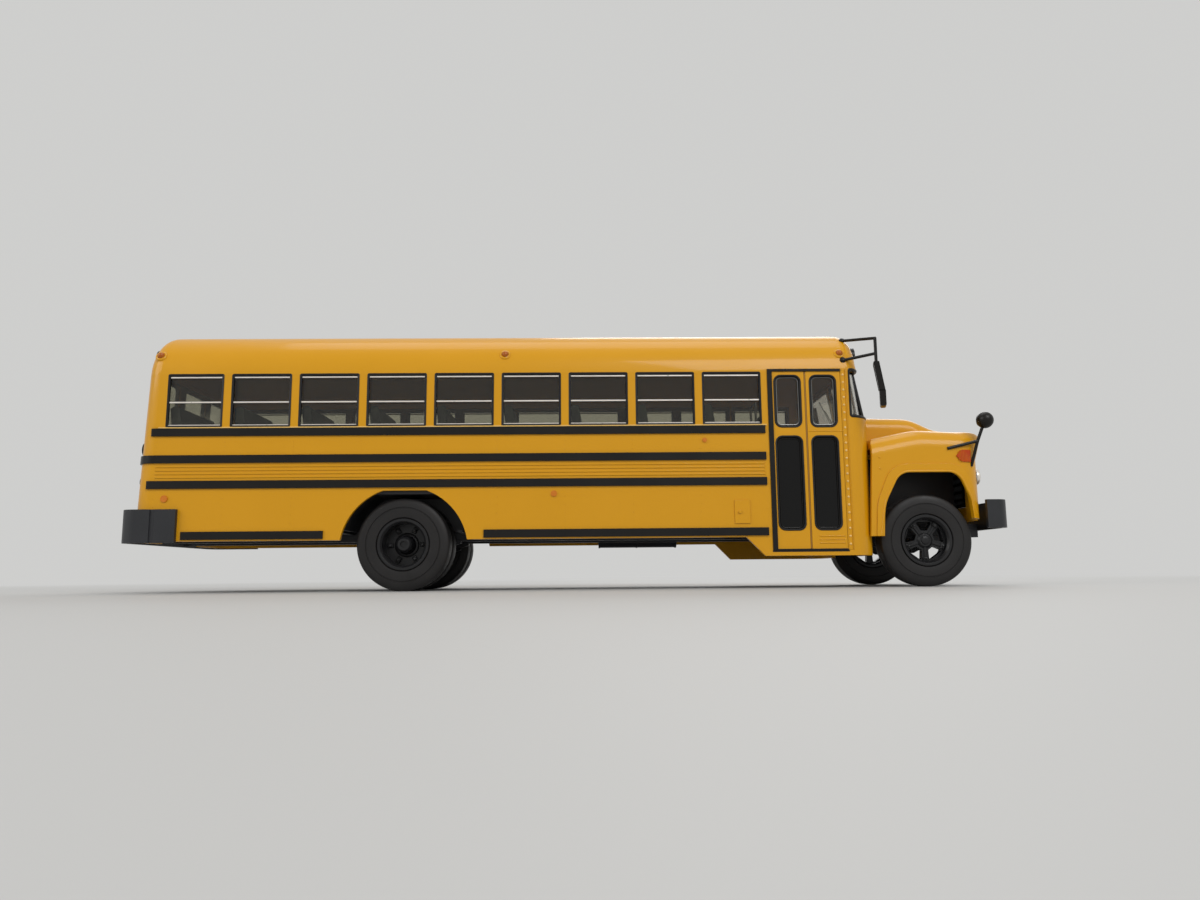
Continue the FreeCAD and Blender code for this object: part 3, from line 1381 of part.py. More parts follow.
def build_mirrors(outer):
    """The wide mirror bracket at the roof corner: two arms, a tall mirror and a small one below it."""
    inward = num("wire_radius")
    high_foot = ("mirror_foot_x", "%g" % (inward - half_width("mirror_foot_z")), "mirror_foot_z")
    low_foot = ("mirror_low_foot_x", "%g" % (inward - half_width("mirror_low_foot_z")), "mirror_low_foot_z")
    elbow = ("mirror_x", "-mirror_y", "mirror_arm_z")
    knot = ("mirror_x", "-mirror_y", "mirror_knot_z")
    top = ("mirror_x", "-mirror_y", "mirror_head_top_z - wire_radius")
    upper = wire("mirror_upper", [high_foot, elbow, knot, top])
    lower = wire("mirror_lower", [low_foot, knot])
    middle_z = "mirror_head_top_z - mirror_head_height"
    low_z = middle_z + " - mirror_small_height"
    rear, front = "-mirror_depth / 2", "mirror_depth / 2"
    small_rear, small_front = "mirror_lean - mirror_small_depth / 2", "mirror_lean + mirror_small_depth / 2"
    head = slab("mirror_head", "XZ", [
        (rear, "mirror_head_top_z"),
        (front, "mirror_head_top_z"),
        (front + " + mirror_lean", middle_z),
        (rear + " + mirror_lean", middle_z),
    ], "-mirror_head_width / 2", "mirror_head_width / 2")
    small = slab("mirror_small", "XZ", [
        (small_rear, middle_z),
        (small_front, middle_z),
        (small_front, low_z, "mirror_round"),
        (small_rear, low_z, "mirror_round"),
    ], "-mirror_small_width / 2", "mirror_small_width / 2")
    for item in (head, small):
        place(item, "mirror_x", "-mirror_y", "0", Rotation(Z_AXIS, -MIRROR_TURN))
    arms = join("mirror_arms", upper, lower, head, small)
    right = node("mirror_right", cut("mirror_right", arms, outer))
    node("mirror_left", mirrored("mirror_left", right))


def build_fender_mirrors():
    """The round crossview mirror on each fender, on a stalk and a strut."""
    dome = ("dome_x", "-dome_y", "dome_z")
    knot = ("dome_knot_x", "-dome_knot_y", "dome_knot_z")
    stalk = wire("dome_stalk", [dome, knot, ("dome_foot_x", "-dome_foot_y", "dome_foot_z")])
    strut = wire("dome_strut", [knot, ("strut_foot_x", "-strut_foot_y", "strut_foot_z")])
    head = ball("dome_ball", "dome_radius", *dome)
    parts = join("dome_parts", stalk, strut, head)
    right = node("fender_mirror_right", cut("fender_mirror_right", parts, DOC.getObject("front_outer")))
    node("fender_mirror_left", mirrored("fender_mirror_left", right))


def build_stop_arm():
    """The folded stop sign on the driver's side, bare, held clear of the rails by its hinge block."""
    inner_y = "%s + rail_proud + fit_gap" % FACE_Y
    plate_y = (inner_y, inner_y + " + stop_plate")
    edge_x = "stop_x + stop_radius"
    hinge_x = grown((edge_x, edge_x), "stop_hinge / 2")
    hinge = block("stop_hinge", hinge_x, (FACE_Y, plate_y[1]), grown(("stop_z", "stop_z"), "stop_hinge"))
    corners = []
    for step in range(8):
        angle = math.radians(22.5 + 45 * step)
        corners.append(("stop_x + stop_radius * %.6f" % math.cos(angle),
                        "stop_z + stop_radius * %.6f" % math.sin(angle)))
    node("stop_arm", join("stop_arm", hinge, slab("stop_sheet", "XZ", corners, *plate_y)))


def front_wheel_profile():
    half = "(rim_width / 2)"
    flange = "(rim_radius + rim_flange)"
    well = "rim_radius - rim_wall"
    return [
        ("-" + half, flange),
        ("-" + half, "rim_radius - rim_taper"),
        ("-%s + rim_wall" % half, well),
        ("disc_y", well),
        ("disc_y - disc_cone", "hub_radius"),
        ("-hub_back", "hub_radius"),
        ("-hub_back", "axle_radius"),
        ("hub_length - hub_cap", "axle_radius"),
        ("hub_length - hub_cap", "0"),
        ("hub_length", "0"),
        ("hub_length", "hub_radius - hub_chamfer"),
        ("hub_length - hub_chamfer", "hub_radius"),
        ("disc_y + disc + disc_cone", "hub_radius"),
        ("disc_y + disc", well + " - disc_cone"),
        ("%s - rim_wall" % half, well),
        (half, "rim_radius - rim_taper"),
        (half, flange),
        (half + " - flange_width", flange),
        (half + " - flange_width", "rim_radius"),
        ("-%s + flange_width" % half, "rim_radius"),
        ("-%s + flange_width" % half, flange),
    ]


def rear_wheel_profile():
    """Both rims of a twin wheel with the dished disc between them."""
    half = "(rim_width / 2)"
    flange = "(rim_radius + rim_flange)"
    well = "rim_radius - rim_wall"
    slope = "rim_radius - rim_taper"
    inner = "(-dual_spacing - rim_width / 2)"
    near = "(-dual_spacing + rim_width / 2)"
    disc_back = "-(dual_spacing + twin_disc) / 2"
    disc_front = "-(dual_spacing - twin_disc) / 2"
    cap_back = "-(axle_radius + fit_gap)"
    return [
        (inner, flange),
        (inner, slope),
        (inner + " + rim_wall", well),
        (disc_back, well),
        (disc_back, "twin_hub_radius"),
        ("-dual_spacing - twin_disc / 2", "twin_hub_radius"),
        ("-dual_spacing - twin_disc / 2", "axle_radius"),
        (cap_back, "axle_radius"),
        (cap_back, "0"),
        ("twin_cap_y - twin_cap_dip", "0"),
        ("twin_cap_y - twin_cap_dip", "twin_cap_radius - twin_cap_dip"),
        ("twin_cap_y", "twin_cap_radius - twin_cap_dip"),
        ("twin_cap_y", "twin_cap_radius"),
        ("twin_cap_y - twin_cap_dip", "hub_radius"),
        (disc_front, "hub_radius + twin_cap_dip"),
        (disc_front, well),
        (half + " - rim_wall", well),
        (half, slope),
        (half, flange),
        (half + " - flange_width", flange),
        (half + " - flange_width", "rim_radius"),
        ("-%s + flange_width" % half, "rim_radius"),
        ("-%s + flange_width" % half, flange),
        ("-" + half, flange),
        ("-" + half, slope),
        (near, slope),
        (near, flange),
        (near + " - flange_width", flange),
        (near + " - flange_width", "rim_radius"),
        (inner + " + flange_width", "rim_radius"),
        (inner + " + flange_width", flange),
    ]


def tyre_profile():
    """A tyre with straight flanks: bead, lower and upper sidewall, shoulder and tread."""
    bead_y = "(rim_width / 2 - bead_inset)"
    half = "(tyre_width / 2)"
    right = [
        (bead_y, "rim_radius + bead_gap"),
        (bead_y, "rim_radius + rim_flange + fit_gap"),
        (half, "rim_radius + sidewall"),
        (half + " - tread_taper", "tyre_radius - tread_round"),
        (half + " - tread_round", "tyre_radius"),
    ]
    return right + [("-(%s)" % y, radius) for y, radius in reversed(right)]


def spoke_windows(wheel):
    """Windows through a wheel's disc that leave its spokes, as a pocket repeated round the axle."""
    sketch = wheel.newObject("Sketcher::SketchObject", wheel.Name + "_holes")
    plane = [f for f in wheel.Origin.OriginFeatures if f.Role == "XZ_Plane"][0]
    sketch.AttachmentSupport = [(plane, "")]
    sketch.MapMode = "FlatFace"
    draw(sketch, [
        ("-hole_inner_half", "hole_inner_ring", "hole_round"),
        ("hole_inner_half", "hole_inner_ring", "hole_round"),
        ("hole_outer_half", "hole_outer_ring", "hole_round"),
        ("-hole_outer_half", "hole_outer_ring", "hole_round"),
    ])
    pocket = wheel.newObject("PartDesign::Pocket", wheel.Name + "_pocket")
    pocket.Profile = sketch
    pocket.Type = "ThroughAll"
    pocket.Midplane = True
    pattern = wheel.newObject("PartDesign::PolarPattern", wheel.Name + "_pattern")
    pattern.Originals = [pocket]
    pattern.Axis = (sketch, ["N_Axis"])
    pattern.Occurrences = int(SIZES["spoke_count"])
    pattern.Angle = 360
    wheel.Tip = pattern


def build_wheels():
    height = "tyre_radius"
    for side, sign, outward in (("right", "-", False), ("left", "", True)):
        front_y = sign + "front_track / 2"
        rear_y = sign + "rear_track / 2"
        inner_y = sign + "(rear_track / 2 - dual_spacing)"
        name = "front_wheel_" + side
        wheel = turned(name, front_wheel_profile(), FRONT_AXLE, front_y, height, outward)
        spoke_windows(wheel)
        node(name, wheel)
        name = "front_tyre_" + side
        node(name, turned(name, tyre_profile(), FRONT_AXLE, front_y, height, outward))
        name = "rear_wheel_" + side
        node(name, turned(name, rear_wheel_profile(), "rear_axle_x", rear_y, height, outward))
        for twin, y in (("outer", rear_y), ("inner", inner_y)):
            name = "rear_tyre_%s_%s" % (twin, side)
            node(name, turned(name, tyre_profile(), "rear_axle_x", y, height, outward))
    for name, x, half in (("front_axle", FRONT_AXLE, "(front_track / 2 + hub_length - hub_cap)"),
                          ("rear_axle", "rear_axle_x", "(rear_track / 2 - axle_radius - fit_gap)")):
        node(name, rod(name, "y", "axle_radius", "2 * " + half, x, "-" + half, "tyre_radius"))


def check_and_write():
    DOC.recompute()
    for item in DOC.Objects:
        if "Invalid" in item.State or "Error" in item.State:
            raise RuntimeError("%s failed: %s" % (item.Label, item.State))
    for name, item in NODES.items():
        shape = item.Shape
        if shape.isNull() or not shape.isValid() or not shape.Solids:
            raise RuntimeError("%s has no valid solid" % name)
    os.makedirs("parts", exist_ok=True)
    for name, item in NODES.items():
        item.Shape.exportStep("parts/%s.step" % name)
        print("%-24s %2d solids %10.2f mm3" % (name, len(item.Shape.Solids), item.Shape.Volume))


outer_form = build_body()
build_glass()
build_rails(outer_form)
build_fuel_door()
build_front(outer_form)
build_bumpers()
build_chassis()
build_underbody()
build_interior()
build_warning_lamps(outer_form)
build_clearance_lamps(outer_form)
build_tail_lamps(outer_form)
build_side_markers()
build_mirrors(outer_form)
build_fender_mirrors()
build_stop_arm()
build_wheels()
check_and_write()
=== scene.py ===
"""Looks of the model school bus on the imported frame: finishes, trim, tyres, lamps, light and camera."""
import json
from math import asin, cos, pi, radians, sin, sqrt, tan

import bmesh
import bpy
from mathutils import Matrix, Vector


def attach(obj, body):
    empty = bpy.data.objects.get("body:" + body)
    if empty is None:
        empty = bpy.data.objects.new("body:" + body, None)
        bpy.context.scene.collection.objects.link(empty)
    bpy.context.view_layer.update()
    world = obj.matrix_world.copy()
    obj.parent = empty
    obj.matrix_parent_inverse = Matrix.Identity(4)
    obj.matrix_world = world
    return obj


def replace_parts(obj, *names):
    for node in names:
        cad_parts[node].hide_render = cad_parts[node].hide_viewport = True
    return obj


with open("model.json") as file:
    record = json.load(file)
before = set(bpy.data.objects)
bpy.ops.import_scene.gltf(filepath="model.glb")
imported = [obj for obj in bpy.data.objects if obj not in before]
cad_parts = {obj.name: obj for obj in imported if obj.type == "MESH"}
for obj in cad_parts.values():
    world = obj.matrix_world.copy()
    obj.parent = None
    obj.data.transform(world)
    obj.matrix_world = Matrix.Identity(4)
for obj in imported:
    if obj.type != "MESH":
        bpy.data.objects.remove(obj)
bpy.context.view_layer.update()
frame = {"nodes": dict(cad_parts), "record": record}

# Lengths of the bus are millimetres here, and piece() scales its meshes to metres.
MM = 0.001
RIGHT, LEFT = -1, 1
SIDES = (RIGHT, LEFT)
NAMED_SIDES = (("right", RIGHT), ("left", LEFT))

# The driving sizes, as in the part's source
FACE_Y = 28.3
WALL = 1.2
FIT_GAP = 0.1
GLASS = 0.6
SKIRT_Z = 13.4
REAR_X = -115.4
REAR_LEAN = 0.035
FRONT_X = 81.6
COWL_Z = 45.0
BROW_Z = 60.0
RAKE = 2.8
COWL_RADIUS = 6.5
END_RADIUS = 4.2
SHOULDER = 13.0
CROWN_Z = 73.3
CROWN_RADIUS = 62.0
RAIL_PROUD = 0.45
WINDOW_PITCH = 18.04
WINDOW_WIDTH = 15.7
WINDOW_FRONT_X = 35.8
EVEN_WINDOWS = 8
REAR_WINDOW_WIDTH = 14.6
DRIVER_WINDOW_WIDTH = 17.7
WINDOW_Z = (43.7, 58.0)
PANE_RADIUS = 1.0
DOOR_X = (53.9, 73.4)
DOOR_STILE = 1.6
DOOR_SEAM = 3.0
DOOR_LIGHTS_Z = ((15.4, 40.1), (43.1, 56.8))
DOOR_LIGHT_RADIUS = 1.5
TYRE_RADIUS = 12.3
TYRE_WIDTH = 6.3
RIM_RADIUS = 6.25
FRONT_AXLE = (95.5, 22.7)
REAR_AXLE = (-44.5, 22.9)
TWIN_SPACING = 7.4
NOSE_X = 114.2
FENDER_FRONT_X = 111.5
FENDER_HALF = 27.6
FENDER_CORNER = 6.5
HEADLAMP = (22.2, 29.6)
BUMPER_X = 118.0
PLATE_Z = 16.2


# Finishes

def node_of(tree, kind, **settings):
    """A new node with its properties set, and the values of its sockets, which inputs gives by name."""
    item = tree.nodes.new(kind)
    for key, value in settings.pop("inputs", {}).items():
        item.inputs[key].default_value = value
    for key, value in settings.items():
        setattr(item, key, value)
    return item


def new_material(name):
    """A material with its node tree and its surface node."""
    material = bpy.data.materials.new(name)
    material.use_nodes = True
    return material, material.node_tree, material.node_tree.nodes["Principled BSDF"]


def finish(name, base, roughness, shade=0.05, patch=90.0, rough_span=0.06, grain=None, bevel=0.0, **sockets):
    """A surface with slow colour and gloss changes, a fine grain in relief and softened edges.

    patch counts features in a metre, and so does grain's first number. Its height and bevel are in metres.
    """
    material, tree, surface = new_material(name)
    link = tree.links.new
    # The plain value is for readers that don't follow the link to this socket.
    surface.inputs["Roughness"].default_value = roughness
    for key, value in sockets.items():
        surface.inputs[key.replace("_", " ")].default_value = value
    place = node_of(tree, "ShaderNodeTexCoord")
    cloud = node_of(tree, "ShaderNodeTexNoise", inputs={"Scale": patch, "Detail": 5.0, "Roughness": 0.6})
    link(place.outputs["Object"], cloud.inputs["Vector"])
    blend = node_of(tree, "ShaderNodeMix", data_type="RGBA")
    blend.inputs["A"].default_value = [c * (1 - shade) for c in base] + [1]
    blend.inputs["B"].default_value = [min(1, c * (1 + shade)) for c in base] + [1]
    link(cloud.outputs["Fac"], blend.inputs["Factor"])
    link(blend.outputs["Result"], surface.inputs["Base Color"])
    low, high = max(0.01, roughness - rough_span), min(1.0, roughness + rough_span)
    gloss = node_of(tree, "ShaderNodeMapRange",
                    inputs={"From Min": 0.3, "From Max": 0.7, "To Min": low, "To Max": high})
    link(cloud.outputs["Fac"], gloss.inputs["Value"])
    link(gloss.outputs["Result"], surface.inputs["Roughness"])
    normal = None
    if bevel:
        edge = node_of(tree, "ShaderNodeBevel", samples=4, inputs={"Radius": bevel})
        normal = edge.outputs["Normal"]
    if grain:
        speckle = node_of(tree, "ShaderNodeTexNoise", inputs={"Scale": grain[0], "Detail": 3.0})
        link(place.outputs["Object"], speckle.inputs["Vector"])
        relief = node_of(tree, "ShaderNodeBump", inputs={"Distance": grain[1], "Strength": 1.0})
        link(speckle.outputs["Fac"], relief.inputs["Height"])
        if normal:
            link(normal, relief.inputs["Normal"])
        normal = relief.outputs["Normal"]
    if normal:
        link(normal, surface.inputs["Normal"])
        if "Coat_Weight" in sockets and bevel:
            link(edge.outputs["Normal"], surface.inputs["Coat Normal"])
    return material


def glazing(name, base, roughness=0.025, shade=0.04):
    return finish(name, base, roughness, shade=shade, rough_span=0.01, Transmission_Weight=1.0, IOR=1.45)


def lens_paint(name, base):
    return finish(name, base, 0.25, shade=0.15, patch=400.0, grain=(2400.0, 0.00001), bevel=0.0001,
                  Specular_IOR_Level=0.2, Coat_Weight=0.25, Coat_Roughness=0.05)


def lamp_paint(name, base, shade):
    return finish(name, base, 0.25, shade=shade, patch=500.0, Specular_IOR_Level=0.3)


YELLOW = finish("bus_yellow", (0.66, 0.31, 0.003), 0.36, shade=0.035, patch=45.0, grain=(520.0, 0.00001),
                bevel=0.00018, Specular_IOR_Level=0.2, Coat_Weight=0.3, Coat_Roughness=0.07)
BLACK_GLOSS = finish("black_paint", (0.008, 0.007, 0.006), 0.32, shade=0.3, grain=(900.0, 0.000006),
                     bevel=0.00012, Specular_IOR_Level=0.2, Coat_Weight=0.08, Coat_Roughness=0.2)
BLACK_SATIN = finish("black_plastic", (0.017, 0.018, 0.021), 0.42, shade=0.25, grain=(2600.0, 0.000012),
                     bevel=0.00015, Specular_IOR_Level=0.4)
WHEEL_BLACK = finish("wheel_black", (0.009, 0.009, 0.01), 0.33, shade=0.25, grain=(2000.0, 0.000008),
                     bevel=0.00012, Specular_IOR_Level=0.35)
WHEEL_NUT = finish("nut_black", (0.022, 0.022, 0.023), 0.3, shade=0.2, grain=(2000.0, 0.000006), bevel=0.0001)
TYRE = finish("tyre_vinyl", (0.013, 0.012, 0.012), 0.5, shade=0.3, patch=160.0, rough_span=0.1,
              grain=(3200.0, 0.000018), Specular_IOR_Level=0.3)
GASKET = finish("gasket_black", (0.008, 0.008, 0.008), 0.38, shade=0.3, grain=(2400.0, 0.000006),
                Specular_IOR_Level=0.3)
CABIN = finish("cabin_moulding", (0.035, 0.042, 0.034), 0.5, shade=0.25, grain=(2200.0, 0.00002),
               bevel=0.0002)
SMOKED = glazing("smoked_glazing", (0.50, 0.49, 0.41))
CLEAR_PANE = glazing("clear_glazing", (0.66, 0.64, 0.58))
CLEAR = glazing("clear_lens", (0.93, 0.94, 0.95), 0.03, 0.02)
# Near-black glazing for the lower door panes: painted shade in place of the dark step well seen through them.
STEPWELL_SHADE_PANE = finish("painted_shade_glazing", (0.004, 0.004, 0.004), 0.06, shade=0.1, rough_span=0.02,
                   Specular_IOR_Level=0.22)
AMBER = lens_paint("amber_lens", (0.58, 0.13, 0.003))
RED_LENS = lens_paint("red_lens", (0.36, 0.008, 0.005))
SIGNAL = lamp_paint("signal_orange", (0.48, 0.05, 0.003), 0.2)
CLEARANCE = lamp_paint("clearance_amber", (0.40, 0.105, 0.006), 0.15)
MARKER = lamp_paint("marker_amber", (0.60, 0.18, 0.015), 0.12)
RED_PAINT = finish("red_paint", (0.46, 0.014, 0.014), 0.32, shade=0.06, grain=(700.0, 0.000008),
                   bevel=0.00012, Coat_Weight=0.4, Coat_Roughness=0.1)
# Body yellow painted paler as a painted highlight, for the window ledges and the studs beside the door.
HIGHLIGHT_YELLOW = finish("painted_highlight_yellow", (0.80, 0.50, 0.13), 0.3, shade=0.08, patch=300.0, Coat_Weight=0.5)
SEAM = finish("seam_shadow", (0.30, 0.135, 0.008), 0.5, shade=0.08, patch=60.0)
PEARL = finish("pearl_white", (0.72, 0.71, 0.68), 0.25, shade=0.04, patch=300.0, Coat_Weight=0.4)
STEEL = finish("axle_steel", (0.56, 0.55, 0.53), 0.28, shade=0.08, patch=600.0, grain=(3000.0, 0.000006),
               Metallic=1.0)
DULL_METAL = finish("dull_metal", (0.20, 0.20, 0.19), 0.38, shade=0.12, patch=500.0, Metallic=0.9)
SILVER = finish("silver_foil", (0.82, 0.76, 0.69), 0.32, shade=0.06, patch=500.0, Metallic=0.6)
MIRROR_FACE = finish("mirror_foil", (0.85, 0.86, 0.87), 0.06, shade=0.02, rough_span=0.02, Metallic=1.0)

# The first finish of a slot dresses its CAD nodes, and added pieces take any of them.
SLOT_FINISHES = {
    "yellow_paint": (YELLOW, HIGHLIGHT_YELLOW, SEAM),
    "black_trim": (BLACK_GLOSS, GASKET),
    "black_plastic": (BLACK_SATIN,),
    "wheel_black": (WHEEL_BLACK, WHEEL_NUT),
    "tyre": (TYRE,),
    "tinted_clear": (SMOKED,),
    "dark_interior": (CABIN,),
    "clear_lens": (CLEAR, PEARL),
    "amber_lens": (AMBER,),
    "red_lens": (RED_LENS,),
    "red_paint": (RED_PAINT,),
    "axle_steel": (STEEL, DULL_METAL, SILVER, MIRROR_FACE),
}
SLOT_OF = {used: slot for slot, finishes in SLOT_FINISHES.items() for used in finishes}
# The lower door panes take near-black glazing, painted shade for the dark step well behind them.
NODE_FINISH = {
    "door_glass": CLEAR_PANE, "door_glass_lower": STEPWELL_SHADE_PANE, "windshield": CLEAR_PANE,
    "front_turn_signals": SIGNAL, "clearance_lamps_red": CLEARANCE, "clearance_lamps_amber": CLEARANCE,
    "side_markers": MARKER,
}


def dress_nodes():
    """Every CAD node takes the finish of its slot, or one of its own."""
    for row in frame["record"]["subparts"]:
        for slot in frame["nodes"][row["node"]].material_slots:
            slot.material = NODE_FINISH.get(row["node"], SLOT_FINISHES[row["material_slot"]][0])


# Mesh helpers

CORNER_STEPS = 5
ARCH_STEPS = 6


def new_meshes(count):
    return [bmesh.new() for _ in range(count)]


def new_object(name, data):
    item = bpy.data.objects.new(name, data)
    bpy.context.scene.collection.objects.link(item)
    return item


def mesh_data(name, mesh, used):
    """The mesh as data of Blender with its finish; the mesh is freed."""
    data = bpy.data.meshes.new(name)
    mesh.to_mesh(data)
    mesh.free()
    data.materials.append(used)
    return data


def piece(name, mesh, used, body="root", smooth=35.0, slot=None):
    """A piece in metres on a body, from a mesh in millimetres; the slot argument is not used."""
    bmesh.ops.recalc_face_normals(mesh, faces=mesh.faces)
    mesh.transform(Matrix.Scale(MM, 4))
    data = mesh_data(name, mesh, used)
    data.polygons.foreach_set("use_smooth", [True] * len(data.polygons))
    data.set_sharp_from_angle(angle=radians(smooth))
    item = new_object(name, data)
    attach(item, body)
    slot = slot or SLOT_OF[used]
    return item


def bridge(mesh, loops, closed=True):
    """Quads between rings of points. closed joins the last ring to the first."""
    rows = [[mesh.verts.new(point) for point in loop] for loop in loops]
    pairs = list(zip(rows, rows[1:]))
    if closed:
        pairs.append((rows[-1], rows[0]))
    count = len(rows[0])
    for near, far in pairs:
        for i in range(count):
            j = (i + 1) % count
            mesh.faces.new((near[i], near[j], far[j], far[i]))
    return rows


def capped(mesh, loops):
    """A solid through rings of points, with a face on both ends."""
    rows = bridge(mesh, loops, closed=False)
    mesh.faces.new(rows[0])
    mesh.faces.new(list(reversed(rows[-1])))


def around(centre, side, other, radius, segments):
    """A ring of points in the plane of two directions."""
    turns = (2 * pi * i / segments for i in range(segments))
    return [centre + (side * cos(turn) + other * sin(turn)) * radius for turn in turns]


def rounded_outline(u_span, v_span, radius, grow, along):
    """A rounded rectangle let out by grow, with its straight sides in along parts."""
    u0, u1 = u_span[0] - grow, u_span[1] + grow
    v0, v1 = v_span[0] - grow, v_span[1] + grow
    r = max(radius + grow, 0.02)
    corners = ((u1 - r, v1 - r, 0), (u0 + r, v1 - r, 90), (u0 + r, v0 + r, 180), (u1 - r, v0 + r, 270))
    points = []
    for cu, cv, start in corners:
        for step in range(CORNER_STEPS + 1):
            angle = radians(start + 90 * step / CORNER_STEPS)
            points.append((cu + r * cos(angle), cv + r * sin(angle)))
    dense = []
    for i, (u, v) in enumerate(points):
        dense.append((u, v))
        if (i + 1) % (CORNER_STEPS + 1) == 0:
            far = points[(i + 1) % len(points)]
            dense += [(u + (far[0] - u) * k / along, v + (far[1] - v) * k / along) for k in range(1, along)]
    return dense


def ring_frame(mesh, spot, u_span, v_span, radius, section, along=1):
    """A frame round an opening, with a section of pairs: growth from it and height over the surface."""
    loops = []
    for grow, height in section:
        outline = rounded_outline(u_span, v_span, radius, grow, along)
        loops.append([spot(u, v, height) for u, v in outline])
    bridge(mesh, loops)


def bar(mesh, spot, u_span, v_span, low, high, chamfer):
    """A flat bar on a surface, from low to high over it, with chamfered upper edges."""
    def loop(inset, height):
        u0, u1 = u_span[0] + inset, u_span[1] - inset
        v0, v1 = v_span[0] + inset, v_span[1] - inset
        return [spot(u, v, height) for u, v in ((u0, v0), (u1, v0), (u1, v1), (u0, v1))]
    capped(mesh, [loop(0, low), loop(0, high - chamfer), loop(chamfer, high)])


def lathe(mesh, profile, centre, axis, segments=32, closed=False):
    """A profile of (distance along the axis, radius), turned about the axis."""
    axis = Vector(axis).normalized()
    side = axis.orthogonal().normalized()
    other = axis.cross(side)
    centre = Vector(centre)
    loops = [around(centre + axis * along, side, other, radius, segments) for along, radius in profile]
    if closed:
        bridge(mesh, loops)
    else:
        capped(mesh, loops)


def tube(mesh, points, radius, segments=10):
    """A round bar along points, with flat ends."""
    points = [Vector(p) for p in points]
    loops = []
    side = None
    for i, spot in enumerate(points):
        before, after = points[max(i - 1, 0)], points[min(i + 1, len(points) - 1)]
        along = (after - before).normalized()
        side = (side - along * side.dot(along)).normalized() if side else along.orthogonal().normalized()
        loops.append(around(spot, side, along.cross(side), radius, segments))
    capped(mesh, loops)


def leaf(mesh, points, half, thickness):
    """A flat strip along points, with its width along y."""
    section = ((-half, 0), (half, 0), (half, -thickness), (-half, -thickness))
    capped(mesh, [[(x, y + across, z + up) for across, up in section] for x, y, z in points])


def stud(mesh, centre, axis, radius, height, segments=8):
    """A small round head, such as a rivet, that sits on a surface."""
    profile = [(-0.05, radius), (0.35 * height, radius), (0.8 * height, 0.7 * radius), (height, 0.3 * radius)]
    lathe(mesh, profile, centre, axis, segments)


def dome(mesh, centre, axis, radius, height, segments=28, ribs=0):
    """A shallow lens on a round seat, plain or with rings pressed in it."""
    profile = [(-0.1, radius)]
    steps = 10 if ribs else 5
    for i in range(steps + 1):
        share = i / steps
        lift = height * sin(share * pi / 2) + (ribs if i % 2 else 0)
        profile.append((lift, max(radius * cos(share * pi / 2), 0.02)))
    lathe(mesh, profile, centre, axis, segments)


def ring(mesh, centre, axis, inner, outer, low, high):
    """A round rim with softened upper edges."""
    profile = [(low, outer), (high - 0.06, outer), (high, outer - 0.07), (high, inner + 0.07),
               (high - 0.06, inner), (low, inner)]
    lathe(mesh, profile, centre, axis, closed=True)


# The faces that trim lies on. Each gives a function from (u, v, height) to a point.

def side_face(sign, half=FACE_Y):
    """u runs forward, v up, height out of the side."""
    return lambda u, v, height: Vector((u, sign * (half + height), v))


def front_plane(x):
    """u runs to the driver's side, v up, height forwards."""
    return lambda u, v, height: Vector((x + height, u, v))


def below_plane(z):
    """u runs forward, v to the driver's side, height downwards."""
    return lambda u, v, height: Vector((u, v, z - height))


def front_face():
    """The raked windshield wall: u runs to the driver's side, v up."""
    normal = Vector((BROW_Z - COWL_Z, 0, RAKE)).normalized()

    def spot(u, v, height):
        x = FRONT_X - RAKE * (v - COWL_Z) / (BROW_Z - COWL_Z)
        return Vector((x, u, v)) + normal * height
    return spot


def rear_x(z):
    """Where the rear wall, which leans forward a little, is at a height."""
    return REAR_X + REAR_LEAN * (z - SKIRT_Z)


def rear_face():
    """The rear wall: u runs to the driver's side, v up."""
    normal = Vector((-1, 0, REAR_LEAN)).normalized()
    return lambda u, v, height: Vector((rear_x(v), u, v)) + normal * height


def corner_face(sign):
    """The round corner beside the windshield: u runs round it from the side, v up."""
    def spot(u, v, height):
        share = (v - COWL_Z) / (BROW_Z - COWL_Z)
        radius = COWL_RADIUS + (END_RADIUS - COWL_RADIUS) * share
        front = FRONT_X - RAKE * share
        flat = front - radius - CORNER_PANE_X
        bend = radius * pi / 2
        length = flat + bend + (FACE_Y - radius - CORNER_PANE_Y)
        s = u * length / CORNER_LENGTH
        if s < flat:
            x, y, nx, ny = CORNER_PANE_X + s, FACE_Y, 0.0, 1.0
        elif s < flat + bend:
            turn = (s - flat) / radius
            nx, ny = sin(turn), cos(turn)
            x, y = front - radius + radius * nx, FACE_Y - radius + radius * ny
        else:
            x, y, nx, ny = front, FACE_Y - radius - (s - flat - bend), 1.0, 0.0
        return Vector((x + nx * height, sign * (y + ny * height), v))
    return spot


def shoulder_spot(x, sign, z):
    """A place on the round shoulder of the roof, and the direction out of it."""
    across = FACE_Y - SHOULDER
    centre = CROWN_Z - CROWN_RADIUS + sqrt((CROWN_RADIUS - SHOULDER) ** 2 - across ** 2)
    rise = max(z - centre, 0)
    lean = asin(rise / SHOULDER)
    place = Vector((x, sign * (across + sqrt(SHOULDER ** 2 - rise ** 2)), z))
    return place, Vector((0, sign * cos(lean), sin(lean)))


def fender_y(x, proud):
    """Where the side of a fender is, which rounds in towards the front."""
    into = max(x - (FENDER_FRONT_X - FENDER_CORNER), 0)
    return FENDER_HALF - FENDER_CORNER + sqrt(max(FENDER_CORNER ** 2 - into ** 2, 0)) + proud


def turned_spot(axle, sign, turn):
    """A place on a wheel: u along a spoke, v across it, height out of the bus."""
    x, y = axle
    along = (cos(turn), sin(turn))

    def spot(u, v, height):
        return Vector((x + along[0] * u - along[1] * v, sign * (y + height),
                       TYRE_RADIUS + along[1] * u + along[0] * v))
    return spot


# Side windows. A bar's low, high and chamfer are one value.

